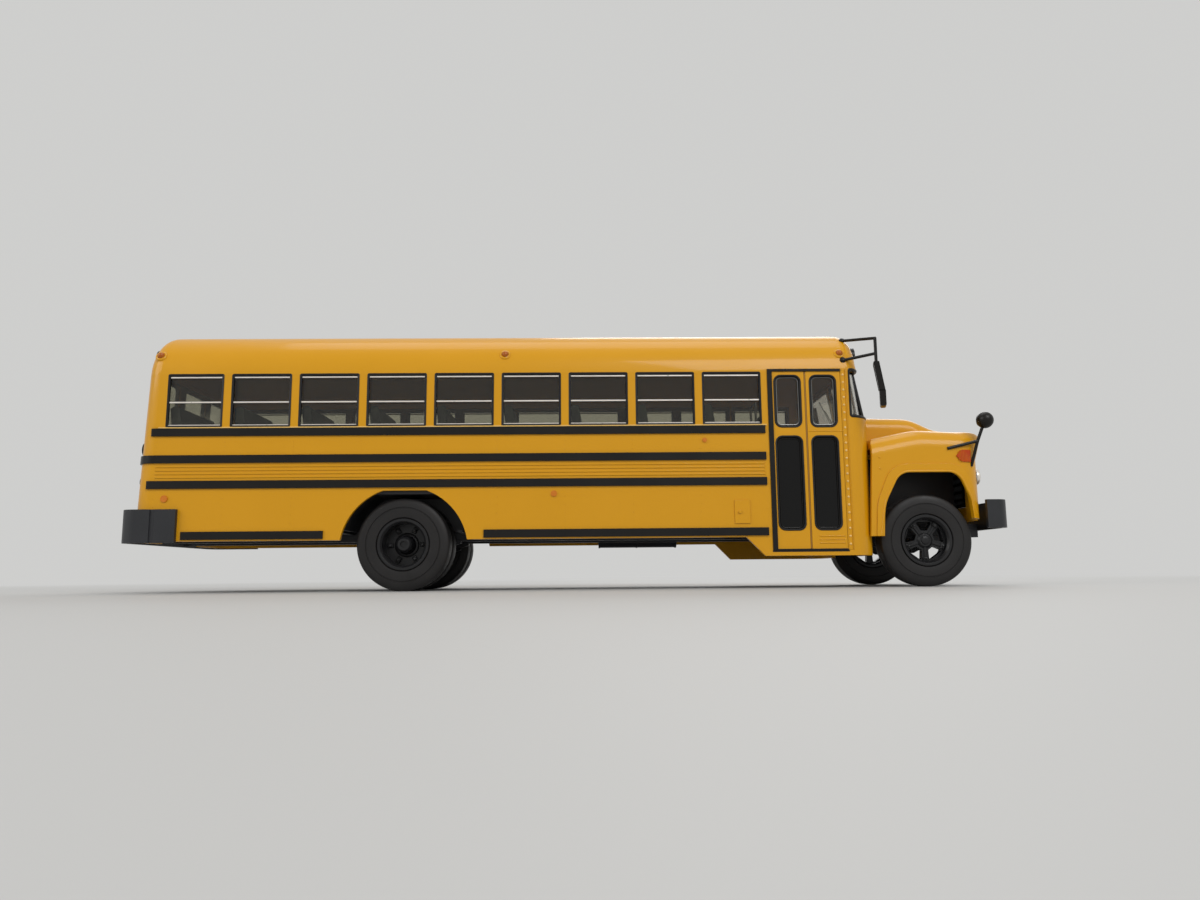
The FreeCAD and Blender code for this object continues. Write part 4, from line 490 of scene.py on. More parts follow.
WINDOW_GASKET = [(0.12, -0.1), (0.14, 0.08), (0.05, 0.13), (-0.1, 0.1), (-0.3, 0.05), (-0.4, 0.02),
                 (-0.44, -0.1), (-0.46, -0.25), (-0.44, -0.6), (0.0, -0.6)]
WINDOW_GASKET_CORNER = 0.35
SASH_LINES = (((57.0, 57.38), -0.38, -0.12, 0.05), ((50.2, 50.6), -0.38, -0.04, 0.05),
              ((44.07, 44.35), -0.38, -0.12, 0.05))
SASH_MARGIN = 0.46
LEDGE_Z = (43.28, 43.68)
LEDGE_BAR = (-0.1, 0.2, 0.1)
LEDGE_PAST = (2.0, 1.4)


def window_spans(driver_side):
    starts = [WINDOW_FRONT_X - i * WINDOW_PITCH for i in range(EVEN_WINDOWS)]
    spans = [(start, start + WINDOW_WIDTH) for start in starts]
    edge = starts[-1] - (WINDOW_PITCH - WINDOW_WIDTH)
    spans.append((edge - REAR_WINDOW_WIDTH, edge))
    if driver_side:
        start = WINDOW_FRONT_X + WINDOW_PITCH
        spans.append((start, start + DRIVER_WINDOW_WIDTH))
    return spans


def window_trim(side, sign):
    """A frame and three bright sash lines in each window, and a ledge under the row that is painted paler as
    a painted highlight.
    """
    spot = side_face(sign)
    gaskets, lines, ledge = new_meshes(3)
    spans = window_spans(sign == LEFT)
    for span in spans:
        ring_frame(gaskets, spot, span, WINDOW_Z, WINDOW_GASKET_CORNER, WINDOW_GASKET)
        inner = (span[0] + SASH_MARGIN, span[1] - SASH_MARGIN)
        for line in SASH_LINES:
            bar(lines, spot, inner, *line)
    ends = (min(span[0] for span in spans) - LEDGE_PAST[0], max(span[1] for span in spans) + LEDGE_PAST[1])
    bar(ledge, spot, ends, LEDGE_Z, *LEDGE_BAR)
    # The ledge is a real yellow edge, painted paler than the body as a painted highlight.
    piece("window_ledge_" + side, ledge, HIGHLIGHT_YELLOW)
    piece("window_gaskets_" + side, gaskets, GASKET)
    piece("window_bright_lines_" + side, lines, SILVER)


# Entrance door

DOOR_GASKET = [(0.45, -0.05), (0.42, 0.12), (0.25, 0.22), (0.05, 0.2), (-0.1, 0.05), (-0.2, -0.3),
               (-0.2, -0.7), (0.0, -0.7)]
DOOR_RIM = [(-0.22, -0.5), (-0.24, -0.28), (-0.34, -0.22), (-0.48, -0.26), (-0.5, -0.55)]
DOOR_MIDDLE = (DOOR_X[0] + DOOR_X[1]) / 2
DOOR_FRONT = DOOR_X[1]
FOOT_LINES_Z = (11.7, 12.6, 13.5)
FOOT_LINE_HALF = 0.17
FOOT_LINE_X = (DOOR_MIDDLE + 2.2, DOOR_FRONT - 0.6)
FOOT_LINE_BAR = (-0.05, 0.14, 0.12)
# Bars, each as its spans forward and up, low, high and chamfer
CREASE = ((DOOR_MIDDLE + 0.6, DOOR_FRONT + 0.2), (41.5, 41.8), -0.05, 0.12, 0.1)
EDGE_FLAT = ((DOOR_FRONT + 0.2, DOOR_FRONT + 1.15), (9.9, 58.7), -0.05, 0.1, 0.09)
EDGE_RIDGE = ((DOOR_FRONT + 1.25, DOOR_FRONT + 1.55), (9.9, 58.7), -0.05, 0.24, 0.14)
SEAM_STRIP = ((DOOR_MIDDLE - 0.22, DOOR_MIDDLE + 0.22), (10.2, 58.0), -0.4, -0.02, 0.08)
SILL_LINE = ((DOOR_X[0] - 0.6, DOOR_FRONT + 0.3), (9.4, 9.85), -0.05, 0.1, 0.06)


def door_lights():
    """The panes of both leaves, lower and upper."""
    width = (DOOR_X[1] - DOOR_X[0] - 2 * DOOR_STILE - DOOR_SEAM) / 2
    for start in (DOOR_X[0] + DOOR_STILE, DOOR_X[1] - DOOR_STILE - width):
        for height in DOOR_LIGHTS_Z:
            yield (start, start + width), height


def door_trim():
    """Gaskets and rims of the panes, lines pressed in the leaves, the seam and the sill."""
    spot = side_face(RIGHT)
    gaskets, upper_rims, lower_rims, pressed, seam, sill = new_meshes(6)
    for span, height in door_lights():
        ring_frame(gaskets, spot, span, height, DOOR_LIGHT_RADIUS, DOOR_GASKET)
        rims = lower_rims if height == DOOR_LIGHTS_Z[0] else upper_rims
        ring_frame(rims, spot, span, height, DOOR_LIGHT_RADIUS, DOOR_RIM)
    for z in FOOT_LINES_Z:
        bar(pressed, spot, FOOT_LINE_X, (z - FOOT_LINE_HALF, z + FOOT_LINE_HALF), *FOOT_LINE_BAR)
    for line in (CREASE, EDGE_FLAT, EDGE_RIDGE):
        bar(pressed, spot, *line)
    bar(seam, spot, *SEAM_STRIP)
    bar(sill, spot, *SILL_LINE)
    piece("door_gaskets", gaskets, GASKET)
    piece("door_glass_rims_upper", upper_rims, DULL_METAL)
    piece("door_glass_rims_lower", lower_rims, BLACK_GLOSS)
    piece("door_pressings", pressed, YELLOW)
    piece("door_seam_strip", seam, SEAM)
    piece("door_sill_line", sill, GASKET)


# Rivets along the body

EDGE_STUDS = 23
EDGE_STUD_X = DOOR_FRONT + 0.68
EDGE_STUD_Z = 11.4
EDGE_STUD_PITCH = 2.08
EDGE_STUD_SIZE = (0.32, 0.24)
FLUTE_RIVETS = 5
FLUTE_RIVET_X = 52.0
FLUTE_RIVET_Z = 29.9
FLUTE_RIVET_PITCH = 0.85
FLUTE_RIVET_SIZE = (0.16, 0.1)
PANEL_RIVETS_Z = (37.2, 38.4, 39.6, 24.6, 22.4, 20.2, 18.0)
PANEL_RIVET_SIZE = (0.13, 0.07)
ARCH_TOP_Z = 30.0
ARCH_REACH = 19.0


def rivets():
    """Studs beside the door, and rivets in the panels under the posts where no arch is."""
    heads, bright = new_meshes(2)
    door_side = side_face(RIGHT)
    for i in range(EDGE_STUDS):
        centre = door_side(EDGE_STUD_X, EDGE_STUD_Z + i * EDGE_STUD_PITCH, 0.1)
        stud(bright, centre, (0, RIGHT, 0), *EDGE_STUD_SIZE)
    for sign in SIDES:
        spot = side_face(sign)
        for i in range(FLUTE_RIVETS):
            centre = spot(FLUTE_RIVET_X, FLUTE_RIVET_Z + i * FLUTE_RIVET_PITCH, 0)
            stud(heads, centre, (0, sign, 0), *FLUTE_RIVET_SIZE)
        foremost = 0 if sign == LEFT else 1
        for i in range(foremost, EVEN_WINDOWS + 2):
            x = WINDOW_FRONT_X - (i - 1) * WINDOW_PITCH - (WINDOW_PITCH - WINDOW_WIDTH) / 2
            for z in PANEL_RIVETS_Z:
                if abs(x - REAR_AXLE[0]) > ARCH_REACH or z > ARCH_TOP_Z:
                    stud(heads, spot(x, z, 0), (0, sign, 0), *PANEL_RIVET_SIZE, 6)
    # The studs beside the door are body yellow painted paler, a painted highlight on their heads.
    piece("door_edge_rivets", bright, HIGHLIGHT_YELLOW)
    piece("rivet_heads", heads, YELLOW)


# Tyres

TYRE_SEGMENTS = 144
GROOVES = (-1.45, -0.48, 0.48, 1.45)
GROOVE_HALF = 0.13
GROOVE_FLANK = 0.03
GROOVE_DEPTH = 0.35
ZIGZAG = 0.12
# Half the section from bead to tread, as (distance inside the flank, height over the rim)
TYRE_FLANK = ((0.67, 0.1), (0.6, 0.66), (0.14, 0.95), (0.06, 1.6), (0.02, 2.4), (0, 3.2), (0, 3.35),
              (0.14, 3.45), (0.14, 3.6), (0, 3.7), (0.05, 4.4), (0.14, 4.95), (0.3, 5.5), (0.5, 5.83),
              (0.72, 5.99))


def tyre_profile():
    """The whole section as (distance, radius, whether it follows the tread's zigzag)."""
    flank = [(TYRE_WIDTH / 2 - inside, RIM_RADIUS + over) for inside, over in TYRE_FLANK]
    outer = GROOVE_HALF + GROOVE_FLANK
    groove = ((-outer, 0), (-GROOVE_HALF, GROOVE_DEPTH), (GROOVE_HALF, GROOVE_DEPTH), (outer, 0))
    tread = [(middle + offset, TYRE_RADIUS - drop, True) for middle in GROOVES for offset, drop in groove]
    return ([(along, radius, False) for along, radius in flank] + tread[::-1]
            + [(-along, radius, False) for along, radius in reversed(flank)])


def tyre(name, axle, inwards, sign, node, body):
    """A rib tyre, with a raised ring on its flanks and four zigzag grooves in the tread."""
    x, y = axle[0], sign * (axle[1] - inwards)
    mesh = bmesh.new()
    loops = []
    for along, radius, zigzag in tyre_profile():
        loop = []
        for i in range(TYRE_SEGMENTS):
            turn = 2 * pi * i / TYRE_SEGMENTS
            wave = ZIGZAG * (1 if (i // 2) % 2 else -1) if zigzag else 0
            loop.append((x + radius * cos(turn), y + sign * (along + wave),
                         TYRE_RADIUS + radius * sin(turn)))
        loops.append(loop)
    bridge(mesh, loops)
    item = piece(name, mesh, TYRE, body, smooth=40.0)
    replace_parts(item, node)


def tyres():
    for side, sign in NAMED_SIDES:
        tyre("tyre_front_" + side, FRONT_AXLE, 0, sign, "front_tyre_" + side, "front_wheels")
        for place, inwards in (("outer_", 0), ("inner_", TWIN_SPACING)):
            tyre("tyre_rear_" + place + side, REAR_AXLE, inwards, sign, "rear_tyre_" + place + side,
                 "rear_wheels")


# Wheels. A nut and its pin are profiles, seated at a distance from the axle and a height.

SPOKES = 5
SPOKE_TURN = 270
SPOKE_RIB = ((1.9, 4.9), (-0.42, 0.42), 1.0, 1.42, 0.14)
SPOKE_FOOT = ((4.55, 5.62), (-0.75, 0.75), 1.0, 1.62, 0.16)
HUB_CAP = [(1.3, 1.72), (1.62, 1.72), (1.72, 1.6), (1.72, 1.15), (1.9, 1.05), (1.98, 0.9), (1.98, 0.3)]
CAP_BOLTS = 6
CAP_BOLT_TURN = 30
CAP_BOLT_SEAT = (1.38, 0, 1.7)
CAP_BOLT_SIZE = (0.15, 0.14)
FRONT_NUT_SEAT = (4.85, 0, 1.55)
FRONT_NUT = [(0, 0.42), (0.32, 0.42), (0.42, 0.3)]
FRONT_NUT_PIN = [(0.3, 0.2), (0.75, 0.2), (0.8, 0.14)]
CLAMPS = 6
CLAMP_TURN = 2
CLAMP_BAR = ((3.6, 5.3), (-0.62, 0.62), -2.9, -2.3, 0.16)
CLAMP_RING = [(-2.9, 3.3), (-2.5, 3.3), (-2.35, 3.1), (-2.2, 2.4)]
REAR_NUT_SEAT = (4.45, 0, -2.35)
REAR_NUT = [(0, 0.55), (0.45, 0.55), (0.6, 0.4)]
REAR_NUT_PIN = [(0.5, 0.26), (1.15, 0.26), (1.22, 0.18)]
HUB_BOLT_SEAT = (2.05, 0, -0.4)
HUB_BOLT_SIZE = (0.2, 0.3)


def front_wheel_details(side, sign):
    ribs, nuts = new_meshes(2)
    outwards = (0, sign, 0)
    for i in range(SPOKES):
        spot = turned_spot(FRONT_AXLE, sign, radians(SPOKE_TURN + 360 / SPOKES * i))
        bar(ribs, spot, *SPOKE_RIB)
        bar(ribs, spot, *SPOKE_FOOT)
        lathe(nuts, FRONT_NUT, spot(*FRONT_NUT_SEAT), outwards, 6)
        lathe(nuts, FRONT_NUT_PIN, spot(*FRONT_NUT_SEAT), outwards, 8)
    lathe(ribs, HUB_CAP, (FRONT_AXLE[0], sign * FRONT_AXLE[1], TYRE_RADIUS), outwards, 28)
    for i in range(CAP_BOLTS):
        spot = turned_spot(FRONT_AXLE, sign, radians(CAP_BOLT_TURN + 360 / CAP_BOLTS * i))
        stud(nuts, spot(*CAP_BOLT_SEAT), outwards, *CAP_BOLT_SIZE, 6)
    piece("front_spoke_ribs_" + side, ribs, WHEEL_BLACK, "front_wheels", 30.0)
    piece("front_wheel_nuts_" + side, nuts, WHEEL_NUT, "front_wheels", 25.0)


def rear_wheel_details(side, sign):
    clamps, nuts = new_meshes(2)
    outwards = (0, sign, 0)
    for i in range(CLAMPS):
        turn = radians(CLAMP_TURN + 360 / CLAMPS * i)
        spot = turned_spot(REAR_AXLE, sign, turn)
        bar(clamps, spot, *CLAMP_BAR)
        lathe(nuts, REAR_NUT, spot(*REAR_NUT_SEAT), outwards, 6)
        lathe(nuts, REAR_NUT_PIN, spot(*REAR_NUT_SEAT), outwards, 8)
        between = turned_spot(REAR_AXLE, sign, turn + pi / CLAMPS)
        stud(nuts, between(*HUB_BOLT_SEAT), outwards, *HUB_BOLT_SIZE, 6)
    lathe(clamps, CLAMP_RING, (REAR_AXLE[0], sign * REAR_AXLE[1], TYRE_RADIUS), outwards, 36)
    piece("rear_wheel_clamps_" + side, clamps, WHEEL_BLACK, "rear_wheels", 30.0)
    piece("rear_wheel_nuts_" + side, nuts, WHEEL_NUT, "rear_wheels", 25.0)


# Front and rear glazing trim

PANE_GASKET = [(0.4, -0.05), (0.36, 0.15), (0.15, 0.22), (-0.1, 0.15), (-0.25, -0.1), (-0.25, -0.9),
               (0.0, -0.9)]
SCREEN_PANES = ((-20.6, -0.7), (0.7, 20.6))
SCREEN_Z = (48.0, 58.8)
REAR_LIGHTS = ((10.3, 22.5), (-22.5, -10.3))
REAR_DOOR_LIGHT = (-6.5, 6.5)
REAR_DOOR_LOW_LIGHT_Z = (28.0, 36.1)
REAR_DOOR = ((-8.4, 8.4), (24.1, 60.4))
REAR_DOOR_CORNER = 0.6
REAR_DOOR_SEAL = [(0.35, -0.05), (0.32, 0.14), (0.1, 0.2), (-0.3, 0.14), (-0.34, -0.05)]
CORNER_PANE_X = 75.8
CORNER_PANE_Y = 21.8
CORNER_LENGTH = 9.6
CORNER_Z = (45.7, 58.8)
CORNER_RADIUS = 0.6
CORNER_PARTS = 14
CORNER_GASKET = [(0.3, -0.05), (0.28, 0.1), (0.1, 0.18), (-0.2, 0.14), (-0.45, -0.05), (-0.5, -0.6),
                 (-0.1, -0.9)]


def end_trim():
    """Frames of the panes of the front, rear and corners, and of the emergency door."""
    ends, corners = new_meshes(2)
    for span in SCREEN_PANES:
        ring_frame(ends, front_face(), span, SCREEN_Z, PANE_RADIUS, PANE_GASKET)
    rear = rear_face()
    for span in REAR_LIGHTS + (REAR_DOOR_LIGHT,):
        ring_frame(ends, rear, span, WINDOW_Z, PANE_RADIUS, PANE_GASKET)
    ring_frame(ends, rear, REAR_DOOR_LIGHT, REAR_DOOR_LOW_LIGHT_Z, PANE_RADIUS, PANE_GASKET)
    ring_frame(ends, rear, *REAR_DOOR, REAR_DOOR_CORNER, REAR_DOOR_SEAL)
    for sign in SIDES:
        ring_frame(corners, corner_face(sign), (0.0, CORNER_LENGTH), CORNER_Z, CORNER_RADIUS, CORNER_GASKET,
                   along=CORNER_PARTS)
    piece("end_gaskets", ends, GASKET)
    piece("corner_pane_gaskets", corners, GASKET)


# Lamps

WARNING_PAIRS = (("red", 18.0, RED_LENS), ("amber", 12.0, AMBER))
WARNING_Z = 64.6
WARNING_RADIUS = 1.75
WARNING_RIM = (1.72, 2.12, -0.7, 0.12)
TAIL_Y = 22.2
TAIL_LAMPS = ((38.4, 2.0), (29.6, 1.4))
LAMP_PROUD = 0.8
BEZEL = [(-0.6, 2.2), (0.1, 2.2), (0.32, 2.1), (0.4, 1.95), (0.34, 1.82), (0.1, 1.78), (-0.6, 1.78)]
BOWL = [(-1.7, 0.3), (-1.5, 0.8), (-1.15, 1.25), (-0.6, 1.6), (0.0, 1.78), (0.0, 1.84), (-0.7, 1.68),
        (-1.25, 1.33), (-1.62, 0.85), (-1.8, 0.3)]
HEADLAMP_LENS = [(0.0, 1.79), (0.12, 1.76), (0.24, 1.4), (0.32, 0.8), (0.35, 0.05)]
BULB = [(-1.6, 0.32), (-0.9, 0.32), (-0.7, 0.24), (-0.6, 0.1)]
LENS_RIBS = 6
LENS_RIB_PITCH = 0.26
LENS_RIB_REACH = 1.62
MARKER_Z = 63.4
MARKERS_X = (REAR_X + 5.0, -17.7, FRONT_X - RAKE - 5.0)
MARKER_FOOT = [(-0.2, 1.55), (0.2, 1.5), (0.36, 1.3), (0.42, 0.98), (-0.2, 0.9)]
SIGNAL_X = 104.0
SIGNAL_Z = 34.8
SIGNAL_RIBS = 9
SIGNAL_RIB_PITCH = 0.42
SIGNAL_HALF = 1.45


def warning_lamps():
    """Ribbed lenses and rims of the four lamps at each end."""
    rims = bmesh.new()
    for colour, y, used in WARNING_PAIRS:
        lenses = bmesh.new()
        for sign in SIDES:
            ahead = (FRONT_X - RAKE + LAMP_PROUD, sign * y, WARNING_Z)
            rear = (rear_x(WARNING_Z) - LAMP_PROUD, sign * y, WARNING_Z)
            for centre, axis in ((ahead, (1, 0, 0)), (rear, (-1, 0, 0))):
                dome(lenses, centre, axis, WARNING_RADIUS, 0.4, ribs=0.05)
                ring(rims, centre, axis, *WARNING_RIM)
        piece("warning_lenses_" + colour, lenses, used, smooth=50)
    piece("warning_lamp_rims", rims, BLACK_GLOSS)


def lens_ribs(mesh, centre):
    """Upright ribs on a headlamp's lens, bowed with it."""
    for i in range(-LENS_RIBS, LENS_RIBS + 1):
        across = i * LENS_RIB_PITCH
        reach = sqrt(max(LENS_RIB_REACH ** 2 - across ** 2, 0.04))
        x, y, z = centre[0] + 0.3 - 0.05 * (i / LENS_RIBS) ** 2, centre[1] + across, centre[2]
        tube(mesh, [(x, y, z - reach), (x + 0.06, y, z), (x, y, z + reach)], 0.05, 6)


def headlamps():
    """Bezel, bowl, bulb and ribbed lens in place of the plain lamps."""
    bezels, bowls, lenses, bulbs = new_meshes(4)
    ahead = (1, 0, 0)
    for sign in SIDES:
        centre = (FENDER_FRONT_X, sign * HEADLAMP[0], HEADLAMP[1])
        lathe(bezels, BEZEL, centre, ahead, 40, closed=True)
        lathe(bowls, BOWL, centre, ahead, 40)
        lathe(lenses, HEADLAMP_LENS, centre, ahead, 40)
        lens_ribs(lenses, centre)
        lathe(bulbs, BULB, centre, ahead, 16)
    for name, mesh, used in (("headlamp_bezels", bezels, SILVER), ("headlamp_bowls", bowls, MIRROR_FACE),
                             ("headlamp_lenses", lenses, CLEAR), ("headlamp_bulbs", bulbs, PEARL)):
        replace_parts(piece(name, mesh, used, smooth=50), "headlamps")


def tail_details():
    lenses, rims = new_meshes(2)
    for z, radius in TAIL_LAMPS:
        for sign in SIDES:
            centre = (rear_x(z) - LAMP_PROUD, sign * TAIL_Y, z)
            dome(lenses, centre, (-1, 0, 0), radius - 0.25, 0.35, ribs=0.04)
            ring(rims, centre, (-1, 0, 0), radius - 0.28, radius + 0.12, -0.6, 0.1)
    piece("tail_lenses", lenses, RED_LENS, smooth=50)
    piece("tail_lamp_rims", rims, BLACK_GLOSS)


def marker_bases():
    """A yellow foot round each small lamp on the shoulders."""
    mesh = bmesh.new()
    for x in MARKERS_X:
        for sign in SIDES:
            place, outwards = shoulder_spot(x, sign, MARKER_Z)
            lathe(mesh, MARKER_FOOT, place - outwards * 0.1, outwards, 28, closed=True)
    piece("clearance_lamp_feet", mesh, YELLOW, smooth=45)


def signal_ribs():
    """Upright ribs over the amber side lamps, shorter towards their point."""
    mesh = bmesh.new()
    for sign in SIDES:
        for i in range(SIGNAL_RIBS):
            x = SIGNAL_X + 0.7 + i * SIGNAL_RIB_PITCH
            y = sign * fender_y(x, 0.33)
            reach = min(SIGNAL_HALF, 0.55 + (x - SIGNAL_X) * 0.9)
            tube(mesh, [(x, y, SIGNAL_Z - reach), (x, y, SIGNAL_Z), (x, y, SIGNAL_Z + reach)], 0.1, 6)
    piece("signal_ribs", mesh, AMBER, smooth=60)


# The front arches, as corners of (distance from the axle, height, radius)

ARCH = ((-13.0, 13.4, 0.0), (-11.5, 22.5, 12.0), (-7.2, 30.7, 4.5), (8.8, 30.7, 4.5), (11.8, 24.0, 9.0),
        (13.8, 19.0, 0.0))
LIP_RADIUS = 0.34
LIP_PROUD = 0.22


def soft_line(corners):
    """A line through corners that are rounded by their third number."""
    points = []
    for i, (x, z, radius) in enumerate(corners):
        here = Vector((x, z))
        if not radius:
            points.append(here)
            continue
        back = (Vector(corners[i - 1][:2]) - here).normalized()
        ahead = (Vector(corners[i + 1][:2]) - here).normalized()
        half = back.angle(ahead) / 2
        reach = radius / tan(half)
        centre = here + (back + ahead).normalized() * radius / sin(half)
        start, end = here + back * reach - centre, here + ahead * reach - centre
        swing = start.angle_signed(end)
        for step in range(ARCH_STEPS + 1):
            turn = -swing * step / ARCH_STEPS
            points.append(centre + Vector((start.x * cos(turn) - start.y * sin(turn),
                                           start.x * sin(turn) + start.y * cos(turn))))
    return points


def fender_lips():
    """A rolled bead along the edge of each front wheel arch."""
    mesh = bmesh.new()
    for sign in SIDES:
        places = [(FRONT_AXLE[0] + point.x, point.y) for point in soft_line(ARCH)]
        tube(mesh, [(x, sign * fender_y(x, LIP_PROUD), z) for x, z in places], LIP_RADIUS)
    piece("fender_lips", mesh, YELLOW, smooth=60)


# Mirrors

MIRROR = (82.0, 32.6, 59.4)
MIRROR_TURN = 17.0
MIRROR_HEIGHT = 7.8
MIRROR_LEAN = 1.2
MIRROR_BACK = 0.7
MIRROR_GLASS = ((-1.7, 1.7), (0.35, 7.4))
MIRROR_RIM = [(0.28, -0.1), (0.26, 0.1), (0.14, 0.16), (0.02, 0.1), (0.02, -0.1)]
MIRROR_RIM_CORNER = 0.38
MIRROR_FEET = ((75.9, 68.1), (74.5, 61.4))
DOME = (111.9, 29.0, 44.3)
DOME_RADIUS = 2.25
DOME_AIM = (-0.72, 0.70, 0.05)
DOME_GLASS_ANGLES = range(36, -6, -6)
DOME_RIM_ANGLES = (42, 40, 37, 35)
DOME_RIM_BACK = [(1.7, 1.29), (1.6, 1.5)]


def mirror_frame(sign):
    """A bracket mirror's leaning head: u across it, v down from its top, height to the rear."""
    turn = radians(MIRROR_TURN)
    across = Vector((sin(turn), cos(turn), 0))
    ahead = Vector((cos(turn), -sin(turn), 0))

    def spot(u, v, height):
        top = Vector((MIRROR[0], -MIRROR[1], MIRROR[2]))
        point = top + across * u - Vector((0, 0, v)) + ahead * (MIRROR_LEAN * v / MIRROR_HEIGHT - height)
        return Vector((point.x, -sign * point.y, point.z))
    return spot


def on_dome(degrees, proud):
    """A place on the round mirror, as a distance along its aim and a radius."""
    angle = radians(degrees)
    return DOME_RADIUS * cos(angle) + proud, max(DOME_RADIUS * sin(angle), 0.02)


def mirrors():
    """Faces and rims of all mirrors, and the feet of the brackets."""
    faces, rims, feet, caps = new_meshes(4)
    for sign in SIDES:
        spot = mirror_frame(sign)
        bar(faces, spot, *MIRROR_GLASS, MIRROR_BACK - 0.05, MIRROR_BACK + 0.04, 0.03)
        ring_frame(rims, spot, *MIRROR_GLASS, MIRROR_RIM_CORNER,
                   [(grow, MIRROR_BACK + height) for grow, height in MIRROR_RIM])
        for x, z in MIRROR_FEET:
            dome(feet, *shoulder_spot(x, sign, z), 0.85, 0.6, segments=20)
        centre = (DOME[0], sign * DOME[1], DOME[2])
        aim = (DOME_AIM[0], -sign * DOME_AIM[1], DOME_AIM[2])
        lathe(caps, [on_dome(angle, 0.02) for angle in DOME_GLASS_ANGLES], centre, aim)
        rim = [on_dome(angle, 0.04) for angle in DOME_RIM_ANGLES]
        lathe(rims, rim + DOME_RIM_BACK, centre, aim, closed=True)
    piece("mirror_faces", faces, MIRROR_FACE)
    piece("mirror_rims", rims, BLACK_GLOSS)
    piece("mirror_feet", feet, BLACK_GLOSS, smooth=60)
    piece("crossview_faces", caps, MIRROR_FACE, smooth=60)


# Front, rear and left details

WIPER_FEET = (-14.5, 5.5)
WIPER_REACH = 7.5
GRILLE = ((-12.4, 12.4), (22.1, 37.5))
GRILLE_CORNER = 1.0
GRILLE_SURROUND = [(0.75, -0.1), (0.72, 0.12), (0.45, 0.22), (0.1, 0.14), (0.0, -0.3), (0.3, -0.5)]
SLATS = 41
SLAT_PITCH = 0.56
SLAT_HALF = 0.07
SLAT_Z = (22.6, 37.0)
SLAT_X = NOSE_X - 1.75
SLAT_BAR = (-0.25, 0.25, 0.05)
BUMPER_BOLTS_Y = (-20.5, -8.5, 8.5, 20.5)
BUMPER_BOLTS_Z = (17.6, 20.9)
FENDER_BOLT_X = 83.2
FENDER_BOLTS_Z = (31.5, 34.5)
HANDLE_Z = 39.3
HANDLE_PLATE = ((-7.4, -4.6), (38.9, 39.7), 0.0, 0.42, 0.15)
HINGES_Z = (29.0, 42.0, 57.0)
HINGE_Y = (6.9, 9.3)
HINGE_PIN_Y = 8.5
HINGE_BAR = (0.0, 0.28, 0.1)
REAR_RIVETS_Y = (-24.3, -16.0, 16.0, 24.3)
REAR_RIVETS_Z = (60.3, 43.0)
DOOR_RIVETS = 9
DOOR_RIVET_Y = 9.6
DOOR_RIVET_Z = 26.0
DOOR_RIVET_PITCH = 4.2
STOP = (44.0, 38.6, 5.4)
STOP_PLATE = 0.6
STOP_BORDER = ((0.99, 0.0), (0.985, 0.06), (0.9, 0.06), (0.895, 0.0))
STOP_LAMP_RISE = 3.3
STOP_LAMP_SEAT = [(-0.05, 0.85), (0.25, 0.85), (0.32, 0.75)]
STOP_LAMP = [(0.2, 0.65), (0.4, 0.6), (0.52, 0.4), (0.56, 0.05)]


def wipers():
    """An arm and a blade on a pivot before each half of the windshield."""
    mesh = bmesh.new()
    face = front_face()
    for foot in WIPER_FEET:
        tip = foot + WIPER_REACH
        tube(mesh, [face(foot, 47.3, 0.3), face(foot + 0.4, 48.1, 0.75), face(tip - 1.4, 54.6, 0.7)], 0.17, 8)
        tube(mesh, [face(foot + 2.2, 49.2, 0.42), face(tip + 1.1, 58.0, 0.42)], 0.13, 6)
        lathe(mesh, [(-0.2, 0.45), (0.5, 0.4), (0.65, 0.2)], face(foot, 47.2, 0), (1, 0, 0.2), 16)
    piece("wipers", mesh, BLACK_SATIN)


def front_details():
    slats, surround, bumper_bolts, fender_bolts = new_meshes(4)
    for i in range(SLATS):
        y = (i - SLATS // 2) * SLAT_PITCH
        bar(slats, front_plane(SLAT_X), (y - SLAT_HALF, y + SLAT_HALF), SLAT_Z, *SLAT_BAR)
    ring_frame(surround, front_plane(NOSE_X), *GRILLE, GRILLE_CORNER, GRILLE_SURROUND)
    for y in BUMPER_BOLTS_Y:
        for z in BUMPER_BOLTS_Z:
            stud(bumper_bolts, (BUMPER_X - 0.35, y, z), (1, 0, 0), 0.45, 0.32, 12)
    for sign in SIDES:
        for z in FENDER_BOLTS_Z:
            stud(fender_bolts, side_face(sign, FENDER_HALF)(FENDER_BOLT_X, z, 0), (0, sign, 0), 0.3, 0.16, 10)
    piece("grille_slats", slats, BLACK_SATIN, slot="black_trim")
    piece("grille_surround", surround, BLACK_GLOSS)
    piece("front_bumper_bolts", bumper_bolts, DULL_METAL)
    piece("fender_bolts", fender_bolts, YELLOW)


def rear_details():
    """Handle and hinges of the emergency door, and rivets round it."""
    face = rear_face()
    metal, black, yellow = new_meshes(3)
    bar(metal, face, *HANDLE_PLATE)
    tube(metal, [face(-4.9, HANDLE_Z, 0.35), face(-4.7, HANDLE_Z, 1.0), face(-1.9, HANDLE_Z, 1.05),
                 face(-1.6, HANDLE_Z - 0.3, 0.95)], 0.26)
    for z in HINGES_Z:
        bar(black, face, HINGE_Y, (z - 0.8, z + 0.8), *HINGE_BAR)
        tube(black, [face(HINGE_PIN_Y, z - 1.0, 0.35), face(HINGE_PIN_Y, z + 1.0, 0.35)], 0.28)
    for y in REAR_RIVETS_Y:
        for z in REAR_RIVETS_Z:
            stud(yellow, face(y, z, 0), (-1, 0, 0), 0.2, 0.12)
    for i in range(DOOR_RIVETS):
        for sign in SIDES:
            centre = face(sign * DOOR_RIVET_Y, DOOR_RIVET_Z + i * DOOR_RIVET_PITCH, 0)
            stud(yellow, centre, (-1, 0, 0), 0.16, 0.1)
    piece("rear_door_handle", metal, SILVER)
    piece("rear_door_hinges", black, BLACK_SATIN)
    piece("rear_rivets", yellow, YELLOW)


